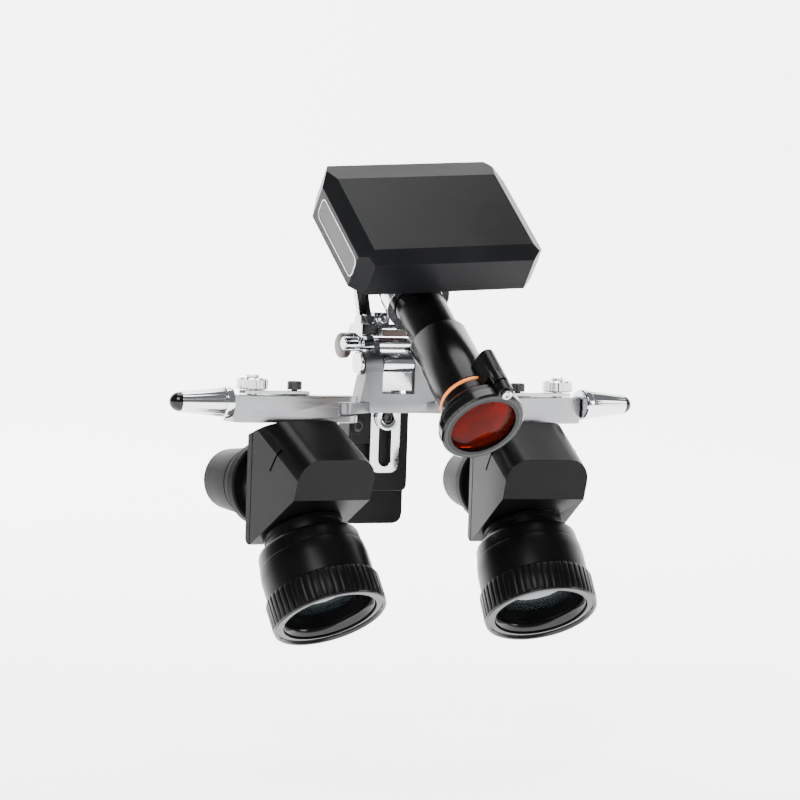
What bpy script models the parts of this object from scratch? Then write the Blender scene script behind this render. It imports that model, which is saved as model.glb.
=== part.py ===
"""Flip-up dental loupes: two prism telescopes on swinging arms, with a cordless headlight.

Frame: +Z up, +Y towards the wearer, +X to the wearer's left. The origin is the centre of
the back face of the mounting plate. The telescopes hang from a horizontal bar in front of
the plate, and most places below are given from the middle of that bar.
"""
import math

import bmesh
import bpy
from mathutils import Matrix, Vector

MM = 0.001
SEAT_GAP = 0.30 * MM          # between pieces that are fixed together
RUN_GAP = 0.25 * MM           # between pieces that move on each other
ROUND = 28                    # sides of a large turned piece
SMALL_ROUND = 16              # sides of a pin or a screw

# Mounting plate, which is screwed to a spectacle frame or a headband
PLATE_WIDTH = 17.0 * MM
PLATE_HEIGHT = 32.0 * MM
PLATE_THICKNESS = 3.0 * MM
PLATE_CORNER = 2.5 * MM
PLATE_HOLE_RADIUS = 1.0 * MM
PLATE_HOLE_SPACING = 24.0 * MM
BAR_AHEAD = 19.0 * MM         # bar centre in front of the plate's back face
BAR_ABOVE = 13.5 * MM         # bar centre above the plate's centre

# Guide block and slotted height slide; heights and depths are from the bar centre
GUIDE_HALF_WIDTH = 7.5 * MM
GUIDE_BOTTOM = -21.0 * MM
GUIDE_TOP = 1.6 * MM
WING_OUTER = -10.5 * MM
WING_CLEARANCE = 0.6 * MM
WING_FRONT = 9.9 * MM
WING_BOTTOM = -9.0 * MM
WING_TOP = -1.2 * MM
WING_BOSS_X = -8.3 * MM
WING_BOSS_Z = -4.7 * MM
WING_BOSS_RADIUS = 2.1 * MM
WING_BOSS_HEIGHT = 0.35 * MM
SLIDE_WIDTH = 8.4 * MM
SLIDE_THICKNESS = 1.6 * MM
SLIDE_FRONT = 10.6 * MM
SLIDE_BOTTOM = -16.4 * MM
SLOT_WIDTH = 3.4 * MM
SLOT_BOTTOM = -14.8 * MM
SLOT_TOP = 2.0 * MM
WASHER_RADIUS = 3.2 * MM
WASHER_THICKNESS = 0.8 * MM
CLAMP_SCREW_RADIUS = 1.1 * MM
CLAMP_SCREW_HEAD = 1.35 * MM
CLAMP_SCREW_HEIGHT = -2.6 * MM

# Flip hinge and flip block
HINGE_Y = 7.5 * MM
HINGE_Z = 10.9 * MM
BARREL_RADIUS = 3.0 * MM
HINGE_PIN_RADIUS = 1.3 * MM
PIN_HEAD_THICKNESS = 0.7 * MM
FLIP_HALF_TOP = 9.4 * MM
FLIP_HALF_BOTTOM = 11.3 * MM
FLIP_BOTTOM = -1.2 * MM
FLIP_DEPTH = 4.7 * MM
WINDOW_BOTTOM = 3.5 * MM
DETENT_BORE_RADIUS = 1.0 * MM
DETENT_HEIGHT = 6.4 * MM
DETENT_DEPTH = 6.6 * MM

# Cross shaft, which carries the headlight above the hinge
SHAFT_Y = 8.5 * MM
SHAFT_Z = 15.7 * MM
SHAFT_RADIUS = 1.6 * MM
SHAFT_HALF = 13.9 * MM
EAR_INNER = 4.8 * MM
EAR_OUTER = 6.4 * MM
EAR_WALL = 0.45 * MM
EAR_TOP = 0.6 * MM            # the ears cradle the shaft to this height above its axis

# Arms
ARM_PIVOT_X = 17.8 * MM
ARM_END_X = 48.7 * MM
ARM_HEIGHT = 6.6 * MM
ARM_DEPTH = 7.0 * MM
ARM_CHAMFER_LENGTH = 4.8 * MM
ARM_CHAMFER_DEPTH = 1.5 * MM
TONGUE_HEIGHT = 2.6 * MM
TONGUE_RADIUS = 2.4 * MM
ARM_PIN_RADIUS = 0.9 * MM
KNOB_X = 42.9 * MM
KNOB_RADIUS = 3.8 * MM
KNOB_HEIGHT = 2.8 * MM
KNOB_SHANK_RADIUS = 1.2 * MM
KNOB_BOSS_RADIUS = 1.65 * MM
KNOB_BOSS_HEIGHT = 0.8 * MM
HANDLE_LENGTH = 15.7 * MM
HANDLE_BASE_RADIUS = 3.85 * MM
HANDLE_TIP_RADIUS = 2.25 * MM
HANDLE_RISE = 1.5 * MM
HANDLE_FORWARD = -1.0 * MM
HANDLE_SWEEP = math.radians(5.0)

# Pupil-distance slider in each arm
SLIDER_LENGTH = 5.2 * MM
SLIDER_WIDTH = 3.7 * MM
PD_TRAVEL = 2.5 * MM
LEAF_THICKNESS = 0.8 * MM
LEAF_WIDTH = 4.6 * MM
LEAF_INNER = 3.0 * MM         # leaf length from the telescope pivot towards the middle
PIVOT_SCREW_RADIUS = 0.75 * MM
PIVOT_HEAD_RADIUS = 1.8 * MM
PIVOT_HEAD_HEIGHT = 2.1 * MM

# Telescopes, placed from their pivot on the bar's centre line
SCOPE_X = 31.4 * MM
TOE_IN = math.radians(6.2)
HOUSING_WIDTH = 22.0 * MM
HOUSING_FRONT_TOP = (-21.0 * MM, -11.1 * MM)
HOUSING_RIDGE = (-7.2 * MM, -2.6 * MM)
HOUSING_REAR_TOP = (3.0 * MM, -6.4 * MM)
HOUSING_FRONT_BOTTOM = (-17.6 * MM, -21.0 * MM)
HOUSING_CORNER = 1.6 * MM
HOUSING_SHOULDER = 5.4 * MM
HOUSING_COVER_THICKNESS = 1.8 * MM
HOUSING_WALL = 1.8 * MM
OPTIC_Y = 1.0 * MM            # where the eyepiece and objective axes cross
OPTIC_Z = -19.0 * MM
DECLINATION = math.radians(57.0)

# Objective, measured along its axis from the crossing of the axes
NECK_START = 12.2 * MM
NECK_RADIUS = 10.0 * MM
SPIGOT_RADIUS = 5.9 * MM
SPIGOT_LENGTH = 2.0 * MM
LIGHT_PATH_RADIUS = 4.2 * MM
BARREL_START = 15.9 * MM
BARREL_TOP_RADIUS = 12.6 * MM
BARREL_FRONT_RADIUS = 13.4 * MM
BARREL_END = 28.4 * MM
FOCUS_END = 36.2 * MM
FOCUS_RADIUS = 14.15 * MM
THREAD_RADIUS = 11.4 * MM
LENS_RADIUS = 10.4 * MM
LENS_THICKNESS = 3.2 * MM

# Eyepiece, measured along its axis from the crossing of the axes
FLANGE_RADIUS = 8.5 * MM
FLANGE_END = 8.7 * MM
EYE_TUBE_RADIUS = 6.4 * MM
EYE_TUBE_WALL = 1.4 * MM
EYE_TUBE_END = 17.0 * MM
DIOPTER_RADIUS = 10.5 * MM
DIOPTER_END = 12.0 * MM
EYECUP_BASE_RADIUS = 9.0 * MM
EYECUP_TIP_RADIUS = 7.5 * MM
EYECUP_END = 27.2 * MM
EYE_LENS_RADIUS = 5.6 * MM

# Headlight: its own frame has its origin at the mouth's centre, its z axis up the tube
LIGHT_DOWN = math.radians(40.2)
LIGHT_ROLL = math.radians(4.4)
MOUTH_Y = -37.6 * MM
MOUTH_Z = -2.1 * MM
LOWER_TUBE_RADIUS = 7.25 * MM
LOWER_TUBE_TOP = 30.5 * MM
UPPER_TUBE_RADIUS = 6.1 * MM
UPPER_TUBE_TOP = 64.0 * MM
TUBE_WALL = 1.4 * MM
COLLAR_RADIUS = 9.8 * MM
COLLAR_TOP = 7.0 * MM
BEZEL_RADIUS = 10.5 * MM
BEZEL_THICKNESS = 2.8 * MM
GLASS_RADIUS = 9.1 * MM
GLASS_THICKNESS = 1.2 * MM
ACCENT_HEIGHT = 9.6 * MM
ACCENT_WIDTH = 0.8 * MM
FILTER_HINGE_RADIUS = 11.2 * MM
FILTER_HINGE_ANGLE = math.radians(-77.0)
FILTER_EAR_RADIUS = 2.0 * MM
FILTER_SCREW_RADIUS = 0.7 * MM
LUG_TOP = 13.3 * MM
CLAMP_BOTTOM = 44.0 * MM
CLAMP_TOP = 48.6 * MM
CLAMP_WALL = 1.8 * MM

# Battery box on the headlight, in the headlight's frame
BOX_WIDTH = 49.8 * MM
BOX_ASIDE = 2.1 * MM          # box centre to the left of the tube's axis
BOX_HEIGHT = 35.4 * MM
BOX_THICKNESS = 12.1 * MM
BOX_MIDDLE = 55.6 * MM        # up the tube from the mouth
BOX_CLEARANCE = 0.9 * MM      # between the clamp ring and the box's back
BOX_AHEAD = UPPER_TUBE_RADIUS + RUN_GAP + CLAMP_WALL + BOX_CLEARANCE + BOX_THICKNESS / 2
BOX_WALL = 1.9 * MM
BOX_TOP_CHAMFER = 6.6 * MM
BOX_TOP_SLANT = 1.5 * MM
BOX_EDGE_CHAMFER = 2.8 * MM
BOX_CORNER_CHAMFER = 3.4 * MM
COVER_THICKNESS = 1.5 * MM
TOUCH_LENGTH = 23.0 * MM
TOUCH_WIDTH = 5.6 * MM
TOUCH_THICKNESS = 0.7 * MM
CELL_SIZE = (34.0 * MM, 5.4 * MM, 16.0 * MM)
BOX_SADDLE_HALF_WIDTH = 4.6 * MM
BOX_SADDLE_LENGTH = 14.0 * MM

# Headlight bracket on the cross shaft
SADDLE_INNER = 6.8 * MM
SADDLE_OUTER = 9.6 * MM
SADDLE_WALL = 1.3 * MM
BRIDGE_HALF = 9.8 * MM
BRIDGE_FRONT = 2.1 * MM       # in front of the shaft's axis
BRIDGE_BACK = 3.6 * MM        # behind the shaft's axis
FOOT_HEIGHT = 1.6 * MM
BRIDGE_THICKNESS = 1.1 * MM
PAD_HALF = 3.8 * MM
CHEEK_WIDTH = 3.2 * MM
CHEEK_HEIGHT = 2.0 * MM
SCREW_SEAT_HEIGHT = 2.9 * MM
BRACKET_SCREW_RADIUS = 0.6 * MM
POST_X = 6.4 * MM
POST_WIDTH = 3.3 * MM
POST_DEPTH = 1.5 * MM
POST_LEAN = math.radians(9.0)
YOKE_BEHIND = 7.3 * MM        # yoke's front behind the tube's axis
YOKE_THICKNESS = 1.7 * MM
SPINE_HALF = 2.6 * MM
TILT_KNOB_RADIUS = 3.2 * MM
TILT_KNOB_THICKNESS = 2.0 * MM
TILT_KNOB_BEHIND = 5.1 * MM   # knob axis behind the cross shaft
TILT_KNOB_BELOW = 0.7 * MM
TILT_SCREW_RADIUS = 0.8 * MM
LUG_INNER = 6.8 * MM

BLACK = (0.012, 0.012, 0.013)
CHROME = (0.78, 0.79, 0.80)
STEEL = (0.55, 0.56, 0.57)


def clear_scene():
    for item in list(bpy.data.objects):
        bpy.data.objects.remove(item, do_unlink=True)


def finish_material(name, colour, roughness, metallic):
    """One Principled material for one piece."""
    material = bpy.data.materials.new(name + "_finish")
    material.use_nodes = True
    shader = material.node_tree.nodes["Principled BSDF"]
    shader.inputs["Base Color"].default_value = (*colour, 1.0)
    shader.inputs["Roughness"].default_value = roughness
    shader.inputs["Metallic"].default_value = metallic
    return material


def add_object(name, mesh_data, parent=None, matrix=None, finish=None):
    """Turn a bmesh into an object, and close its faces outward."""
    bmesh.ops.recalc_face_normals(mesh_data, faces=mesh_data.faces)
    mesh = bpy.data.meshes.new(name)
    mesh_data.to_mesh(mesh)
    mesh_data.free()
    item = bpy.data.objects.new(name, mesh)
    bpy.context.collection.objects.link(item)
    item.parent = parent
    item.matrix_local = matrix or Matrix.Identity(4)
    if finish:
        mesh.materials.append(finish_material(name, *finish))
    mesh.shade_smooth()
    mesh.set_sharp_from_angle(angle=math.radians(32.0))
    return item


def make_tool(item):
    """Mark an object as a cutter or an added lump that isn't a piece itself."""
    item.hide_render = True
    item.display_type = "WIRE"
    return item


def combine(item, tool, operation):
    """Boolean the tool into or out of a piece."""
    make_tool(tool)
    step = item.modifiers.new(operation.lower(), "BOOLEAN")
    step.operation = operation
    step.solver = "EXACT"
    step.object = tool
    return item


def cut(item, *tools):
    for tool in tools:
        combine(item, tool, "DIFFERENCE")
    return item


def add(item, *tools):
    for tool in tools:
        combine(item, tool, "UNION")
    return item


def turned(profile, sides=ROUND):
    """Turn (radius, height) points about z; a profile off the axis closes on itself."""
    mesh_data = bmesh.new()
    rings = []
    for radius, height in profile:
        if radius == 0.0:
            rings.append([mesh_data.verts.new((0.0, 0.0, height))] * sides)
            continue
        ring = []
        for index in range(sides):
            angle = 2 * math.pi * index / sides
            place = (radius * math.cos(angle), radius * math.sin(angle), height)
            ring.append(mesh_data.verts.new(place))
        rings.append(ring)
    pairs = list(zip(rings, rings[1:]))
    if profile[0][0] > 0.0:
        pairs.append((rings[-1], rings[0]))
    for lower, upper in pairs:
        for index in range(sides):
            after = (index + 1) % sides
            corners = [lower[index], lower[after], upper[after], upper[index]]
            mesh_data.faces.new(dict.fromkeys(corners))
    return mesh_data


def disc_profile(radius, low, high, edge=0.0):
    """A solid disc's profile, with an optional chamfer at both rims."""
    if edge == 0.0:
        return [(0.0, low), (radius, low), (radius, high), (0.0, high)]
    return [(0.0, low), (radius - edge, low), (radius, low + edge),
            (radius, high - edge), (radius - edge, high), (0.0, high)]


def ring_profile(inner, outer, low, high):
    return [(inner, low), (outer, low), (outer, high), (inner, high)]


def prism(outline, low, high, plane="XY"):
    """Extrude a closed outline; the plane names its two axes, the third is the depth."""
    order = {"XY": (0, 1, 2), "XZ": (0, 2, 1), "YZ": (1, 2, 0)}[plane]
    mesh_data = bmesh.new()

    def place(first, second, depth):
        point = [0.0, 0.0, 0.0]
        for slot, value in zip(order, (first, second, depth)):
            point[slot] = value
        return mesh_data.verts.new(point)

    base = [place(first, second, low) for first, second in outline]
    face = mesh_data.faces.new(base)
    grown = bmesh.ops.extrude_face_region(mesh_data, geom=[face])
    moved = [item for item in grown["geom"] if isinstance(item, bmesh.types.BMVert)]
    shift = Vector((0.0, 0.0, 0.0))
    shift[order[2]] = high - low
    bmesh.ops.translate(mesh_data, verts=moved, vec=shift)
    return mesh_data


def block(low, high, edge=0.0):
    """A box between two corners, with bevelled edges if asked."""
    mesh_data = bmesh.new()
    bmesh.ops.create_cube(mesh_data, size=1.0)
    size = Vector(high) - Vector(low)
    bmesh.ops.scale(mesh_data, verts=mesh_data.verts, vec=size)
    bmesh.ops.translate(mesh_data, verts=mesh_data.verts, vec=(Vector(low) + Vector(high)) / 2)
    if edge > 0.0:
        bmesh.ops.bevel(mesh_data, geom=mesh_data.edges[:], offset=edge, segments=1,
                        affect="EDGES", clamp_overlap=True)
    return mesh_data


def arc(centre, radius, start, end, steps):
    """Points on an arc, angles in radians."""
    turn = (end - start) / steps
    return [(centre[0] + radius * math.cos(start + turn * index),
             centre[1] + radius * math.sin(start + turn * index)) for index in range(steps + 1)]


def rounded_box(half_width, low, high, corner, steps=3):
    """Outline of a rectangle with rounded corners, centred on the first axis."""
    quarter = math.pi / 2
    outline = []
    outline += arc((half_width - corner, low + corner), corner, -quarter, 0.0, steps)
    outline += arc((half_width - corner, high - corner), corner, 0.0, quarter, steps)
    outline += arc((corner - half_width, high - corner), corner, quarter, 2 * quarter, steps)
    outline += arc((corner - half_width, low + corner), corner, 2 * quarter, 3 * quarter, steps)
    return outline


def stadium(half_width, low, high, steps=8):
    """Outline of an upright slot with round ends."""
    top = arc((0.0, high - half_width), half_width, 0.0, math.pi, steps)
    bottom = arc((0.0, low + half_width), half_width, math.pi, 2 * math.pi, steps)
    return top + bottom


def capsule(start, end, radius, steps=8):
    """Outline of a bar with round ends between two points."""
    heading = math.atan2(end[1] - start[1], end[0] - start[0])
    far_side = arc(end, radius, heading - math.pi / 2, heading + math.pi / 2, steps)
    near_side = arc(start, radius, heading + math.pi / 2, heading + 3 * math.pi / 2, steps)
    return far_side + near_side


def along(direction):
    """Rotation that turns local z onto a world axis."""
    return {"X": Matrix.Rotation(math.pi / 2, 4, "Y"), "Y": Matrix.Rotation(-math.pi / 2, 4, "X"),
            "Z": Matrix.Identity(4)}[direction]


def at(x, y, z, direction="Z"):
    """Placement of a turned piece: its foot at a point, its axis along x, y or z."""
    return Matrix.Translation((x, y, z)) @ along(direction)


def empty(name, matrix, parent=None):
    frame = bpy.data.objects.new(name, None)
    bpy.context.collection.objects.link(frame)
    frame.parent = parent
    frame.matrix_local = matrix
    return frame


def make_mounting_plate():
    outline = rounded_box(PLATE_WIDTH / 2, -PLATE_HEIGHT / 2, PLATE_HEIGHT / 2, PLATE_CORNER)
    plate = add_object("mounting_plate", prism(outline, -PLATE_THICKNESS, 0.0, "XZ"),
                       finish=(BLACK, 0.45, 0.0))
    for side in (-1, 1):
        height = side * PLATE_HOLE_SPACING / 2
        hole = turned(disc_profile(PLATE_HOLE_RADIUS, -2 * PLATE_THICKNESS / 3, PLATE_THICKNESS),
                      SMALL_ROUND)
        cut(plate, add_object("plate_hole_tool", hole, matrix=at(0, 0, height, "Y")))


def make_guide(bar):
    """Guide block on the plate, with a wing at one side, and the screw that locks the slide."""
    guide_back = BAR_AHEAD - PLATE_THICKNESS - SEAT_GAP
    guide_front = SLIDE_FRONT + SLIDE_THICKNESS + RUN_GAP
    outline = rounded_box(GUIDE_HALF_WIDTH, GUIDE_BOTTOM, GUIDE_TOP, 1.5 * MM)
    guide = add_object("guide_block", prism(outline, guide_front, guide_back, "XZ"), bar,
                       finish=(BLACK, 0.5, 0.0))
    wing_inner = -SLIDE_WIDTH / 2 - WING_CLEARANCE
    wing = block((WING_OUTER, WING_FRONT, WING_BOTTOM), (wing_inner, guide_back, WING_TOP))
    boss = turned(disc_profile(WING_BOSS_RADIUS, 0, 2 * MM), SMALL_ROUND)
    boss_place = at(WING_BOSS_X, WING_FRONT - WING_BOSS_HEIGHT, WING_BOSS_Z, "Y")
    add(guide, add_object("wing_tool", wing, bar),
        add_object("wing_boss_tool", boss, bar, boss_place))
    head_front = SLIDE_FRONT - SEAT_GAP - WASHER_THICKNESS
    screw_end = guide_back - 2 * SEAT_GAP
    hole = turned(disc_profile(CLAMP_SCREW_RADIUS + SEAT_GAP, 0, screw_end + SEAT_GAP), SMALL_ROUND)
    cut(guide, add_object("guide_hole_tool", hole, bar, at(0, 0, CLAMP_SCREW_HEIGHT, "Y")))

    washer = turned(ring_profile(CLAMP_SCREW_HEAD + SEAT_GAP, WASHER_RADIUS, 0, WASHER_THICKNESS))
    add_object("slot_washer", washer, bar, at(0, head_front, CLAMP_SCREW_HEIGHT, "Y"),
               (CHROME, 0.15, 1.0))
    shank_end = screw_end - head_front
    screw = turned([(0, 0), (CLAMP_SCREW_HEAD, 0), (CLAMP_SCREW_HEAD, WASHER_THICKNESS),
                    (CLAMP_SCREW_RADIUS, WASHER_THICKNESS), (CLAMP_SCREW_RADIUS, shank_end),
                    (0, shank_end)], SMALL_ROUND)
    add_object("slot_screw", screw, bar, at(0, head_front, CLAMP_SCREW_HEIGHT, "Y"),
               (BLACK, 0.35, 0.6))


def make_height_slide(bar):
    """Slotted slide with the hinge block on its top, and the sprung ball in the block."""
    slide_back = SLIDE_FRONT + SLIDE_THICKNESS
    half = SLIDE_WIDTH / 2
    slide_top = HINGE_Z - 1.3 * MM
    plate = prism(rounded_box(half, SLIDE_BOTTOM, slide_top, 2.6 * MM, 5), SLIDE_FRONT,
                  slide_back, "XZ")
    slide = add_object("slotted_slide", plate, bar, finish=(CHROME, 0.12, 1.0))
    slot = prism(stadium(SLOT_WIDTH / 2, SLOT_BOTTOM, SLOT_TOP), SLIDE_FRONT - MM,
                 slide_back + MM, "XZ")
    cut(slide, add_object("slot_tool", slot, bar))

    block_low = (-half, HINGE_Y - 2.2 * MM, HINGE_Z - 6.5 * MM)
    block_high = (half, SLIDE_FRONT - SEAT_GAP, slide_top)
    hinge_block = add_object("hinge_block", block(block_low, block_high), bar,
                             finish=(CHROME, 0.12, 1.0))
    knuckle = turned(disc_profile(BARREL_RADIUS, -half, half), ROUND)
    add(hinge_block, add_object("middle_knuckle_tool", knuckle, bar, at(0, HINGE_Y, HINGE_Z, "X")))
    bore = turned(disc_profile(HINGE_PIN_RADIUS + RUN_GAP, -12 * MM, 12 * MM), SMALL_ROUND)
    cut(hinge_block, add_object("hinge_bore_tool", bore, bar, at(0, HINGE_Y, HINGE_Z, "X")))
    bore = turned(disc_profile(DETENT_BORE_RADIUS, -12 * MM, DETENT_DEPTH - half), SMALL_ROUND)
    cut(hinge_block, add_object("detent_bore_tool", bore, bar, at(0, HINGE_Y, DETENT_HEIGHT, "X")))

    ball = bmesh.new()
    ball_radius = DETENT_BORE_RADIUS - 0.2 * MM
    ball_x = ball_radius - half - 0.1 * MM
    bmesh.ops.create_icosphere(ball, subdivisions=2, radius=ball_radius)
    add_object("detent_ball", ball, bar, at(ball_x, HINGE_Y, DETENT_HEIGHT), (CHROME, 0.1, 1.0))
    spring_start = ball_x + ball_radius + 0.2 * MM
    spring_end = DETENT_DEPTH - half - 0.2 * MM
    spring = coil((spring_end - spring_start) / 2, DETENT_BORE_RADIUS - 0.45 * MM, 0.15 * MM, 5)
    spring_place = at((spring_start + spring_end) / 2, HINGE_Y, DETENT_HEIGHT, "X")
    add_object("detent_spring", spring, bar, spring_place, (STEEL, 0.3, 1.0))


def coil(half_length, coil_radius, wire_radius, turns):
    """Compression spring about z, its wire six-sided."""
    mesh_data = bmesh.new()
    steps = turns * 12
    rings = []
    for index in range(steps + 1):
        share = index / steps
        angle = share * turns * 2 * math.pi
        height = (2 * share - 1) * (half_length - wire_radius)
        ring = []
        for corner in range(6):
            around = corner * math.pi / 3
            radius = coil_radius + wire_radius * math.cos(around)
            place = (radius * math.cos(angle), radius * math.sin(angle),
                     height + wire_radius * math.sin(around))
            ring.append(mesh_data.verts.new(place))
        rings.append(ring)
    for near, far in zip(rings, rings[1:]):
        for corner in range(6):
            after = (corner + 1) % 6
            mesh_data.faces.new((near[corner], near[after], far[after], far[corner]))
    mesh_data.faces.new(rings[0])
    mesh_data.faces.new(rings[-1])
    return mesh_data


def make_flip_block(bar):
    """The block that turns on the hinge, with its knuckles, shaft ears and arm tongues."""
    front = HINGE_Y - BARREL_RADIUS
    shoulder = HINGE_Z - BARREL_RADIUS - SEAT_GAP
    outline = [(-FLIP_HALF_BOTTOM, FLIP_BOTTOM), (FLIP_HALF_BOTTOM, FLIP_BOTTOM),
               (FLIP_HALF_TOP, shoulder), (FLIP_HALF_TOP, HINGE_Z),
               (-FLIP_HALF_TOP, HINGE_Z), (-FLIP_HALF_TOP, shoulder)]
    body = add_object("flip_block", prism(outline, front, front + FLIP_DEPTH, "XZ"), bar,
                      finish=(CHROME, 0.25, 1.0))
    barrel = turned(disc_profile(BARREL_RADIUS, -FLIP_HALF_TOP, FLIP_HALF_TOP))
    add(body, add_object("outer_knuckle_tool", barrel, bar, at(0, HINGE_Y, HINGE_Z, "X")))

    eye_radius = SHAFT_RADIUS + SEAT_GAP + EAR_WALL
    ear_outline = capsule((HINGE_Y, HINGE_Z), (SHAFT_Y, SHAFT_Z), eye_radius)
    ear_outline = [(y, min(z, SHAFT_Z + EAR_TOP)) for y, z in ear_outline]
    for side in (-1, 1):
        inner, outer = sorted((side * EAR_INNER, side * EAR_OUTER))
        add(body, add_object("ear_tool", prism(ear_outline, inner, outer, "YZ"), bar))

    for side in (-1, 1):
        tongue = capsule((side * (FLIP_HALF_BOTTOM - TONGUE_RADIUS), front + FLIP_DEPTH / 2),
                         (side * ARM_PIVOT_X, 0.0), TONGUE_RADIUS)
        top = FLIP_BOTTOM + TONGUE_HEIGHT
        add(body, add_object("tongue_tool", prism(tongue, FLIP_BOTTOM, top), bar))
        hole = turned(disc_profile(ARM_PIN_RADIUS + RUN_GAP, -10 * MM, 10 * MM), SMALL_ROUND)
        cut(body, add_object("tongue_hole_tool", hole, bar, at(side * ARM_PIVOT_X, 0, 0)))

    half = SLIDE_WIDTH / 2 + SEAT_GAP
    window = block((-half, front - MM, WINDOW_BOTTOM), (half, front + 8 * MM, HINGE_Z + 8 * MM))
    cut(body, add_object("window_tool", window, bar))
    bore = turned(disc_profile(HINGE_PIN_RADIUS + SEAT_GAP, -15 * MM, 15 * MM), SMALL_ROUND)
    cut(body, add_object("flip_bore_tool", bore, bar, at(0, HINGE_Y, HINGE_Z, "X")))
    bore = turned(disc_profile(SHAFT_RADIUS + SEAT_GAP, -15 * MM, 15 * MM), SMALL_ROUND)
    cut(body, add_object("ear_bore_tool", bore, bar, at(0, SHAFT_Y, SHAFT_Z, "X")))

    barrel_end = FLIP_HALF_TOP + SEAT_GAP
    head = barrel_end + PIN_HEAD_THICKNESS
    profile = [(0, -head), (BARREL_RADIUS - 0.1 * MM, -head), (BARREL_RADIUS - 0.1 * MM, -barrel_end),
               (HINGE_PIN_RADIUS, -barrel_end), (HINGE_PIN_RADIUS, barrel_end),
               (BARREL_RADIUS - 0.1 * MM, barrel_end), (BARREL_RADIUS - 0.1 * MM, head), (0, head)]
    add_object("hinge_pin", turned(profile, SMALL_ROUND), bar, at(0, HINGE_Y, HINGE_Z, "X"),
               (CHROME, 0.2, 1.0))


def make_cross_shaft(bar):
    groove = SHAFT_RADIUS - 0.25 * MM
    profile = [(0, -SHAFT_HALF), (SHAFT_RADIUS, -SHAFT_HALF)]
    for x in (-SADDLE_OUTER - 0.6 * MM, SADDLE_OUTER + 0.2 * MM):
        profile += [(SHAFT_RADIUS, x), (groove, x + 0.05 * MM), (groove, x + 0.35 * MM),
                    (SHAFT_RADIUS, x + 0.4 * MM)]
    profile += [(SHAFT_RADIUS, SHAFT_HALF), (0, SHAFT_HALF)]
    add_object("cross_shaft", turned(profile, SMALL_ROUND), bar, at(0, SHAFT_Y, SHAFT_Z, "X"),
               (CHROME, 0.08, 1.0))


def make_arm(bar, side, word):
    """One arm with its fork, its slider slot, its pin and its handle."""
    half_depth = ARM_DEPTH / 2
    half_height = ARM_HEIGHT / 2
    quarter = math.pi / 2
    outline = arc((ARM_PIVOT_X, 0.0), half_depth, quarter, 3 * quarter, 8)
    outline += [(ARM_END_X - ARM_CHAMFER_LENGTH, -half_depth),
                (ARM_END_X, -half_depth + ARM_CHAMFER_DEPTH), (ARM_END_X, half_depth)]
    outline = [(side * x, y) for x, y in outline]
    arm = add_object("arm_" + word, prism(outline, -half_height, half_height), bar,
                     finish=(CHROME, 0.28, 1.0))

    fork_inner = ARM_PIVOT_X - half_depth - MM
    fork_outer = ARM_PIVOT_X + TONGUE_RADIUS + 2 * RUN_GAP
    low_x, high_x = sorted((side * fork_inner, side * fork_outer))
    fork = block((low_x, -half_depth - MM, FLIP_BOTTOM - RUN_GAP),
                 (high_x, half_depth + MM, FLIP_BOTTOM + TONGUE_HEIGHT + RUN_GAP))
    pin_hole = turned(disc_profile(ARM_PIN_RADIUS + SEAT_GAP, -10 * MM, 10 * MM), SMALL_ROUND)
    slot_half = SLIDER_LENGTH / 2 + PD_TRAVEL + RUN_GAP
    slot = block((side * SCOPE_X - slot_half, -SLIDER_WIDTH / 2 - RUN_GAP, -10 * MM),
                 (side * SCOPE_X + slot_half, SLIDER_WIDTH / 2 + RUN_GAP, 10 * MM))
    knob_hole = turned(disc_profile(KNOB_SHANK_RADIUS + RUN_GAP, -half_height + 1.2 * MM, 10 * MM),
                       SMALL_ROUND)
    cut(arm, add_object("fork_tool", fork, bar),
        add_object("arm_pin_hole_tool", pin_hole, bar, at(side * ARM_PIVOT_X, 0, 0)),
        add_object("pd_slot_tool", slot, bar),
        add_object("knob_hole_tool", knob_hole, bar, at(side * KNOB_X, 0, 0)))

    pin = turned(disc_profile(ARM_PIN_RADIUS, -half_height, half_height), SMALL_ROUND)
    add_object("arm_pin_" + word, pin, bar, at(side * ARM_PIVOT_X, 0, 0), (STEEL, 0.3, 1.0))
    make_handle(bar, side, word)


def make_handle(bar, side, word):
    """Tapered flip handle with a round tip, swept back a little."""
    tip = HANDLE_TIP_RADIUS
    profile = [(0, 0), (HANDLE_BASE_RADIUS - 0.5 * MM, 0), (HANDLE_BASE_RADIUS, 0.5 * MM),
               (HANDLE_BASE_RADIUS, 1.6 * MM), (tip + 0.25 * MM, HANDLE_LENGTH - 2.6 * MM)]
    profile += [(tip * math.cos(angle), HANDLE_LENGTH - tip + tip * math.sin(angle))
                for angle in (math.radians(10), math.radians(40), math.radians(68))]
    profile += [(0, HANDLE_LENGTH)]
    sweep = Matrix.Rotation(math.pi / 2 * side, 4, "Y")
    place = Matrix.Translation((side * (ARM_END_X + SEAT_GAP), HANDLE_FORWARD, HANDLE_RISE))
    place = place @ Matrix.Rotation(side * HANDLE_SWEEP, 4, "Z") @ sweep
    add_object("handle_" + word, turned(profile, 20), bar, place, (CHROME, 0.1, 1.0))


def make_lock_knob(bar, side, word):
    """Clamps the slider's leaf onto the arm."""
    leaf_top = ARM_HEIGHT / 2 + RUN_GAP + LEAF_THICKNESS
    base = leaf_top + RUN_GAP
    top = base + KNOB_HEIGHT
    shank_end = -ARM_HEIGHT / 2 + 1.8 * MM
    profile = [(0, shank_end), (KNOB_SHANK_RADIUS, shank_end), (KNOB_SHANK_RADIUS, base),
               (KNOB_RADIUS, base), (KNOB_RADIUS, top), (KNOB_BOSS_RADIUS, top),
               (KNOB_BOSS_RADIUS, top + KNOB_BOSS_HEIGHT), (0, top + KNOB_BOSS_HEIGHT)]
    add_object("lock_knob_" + word, turned(profile, 16), bar, at(side * KNOB_X, 0, 0),
               (CHROME, 0.12, 1.0))


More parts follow.
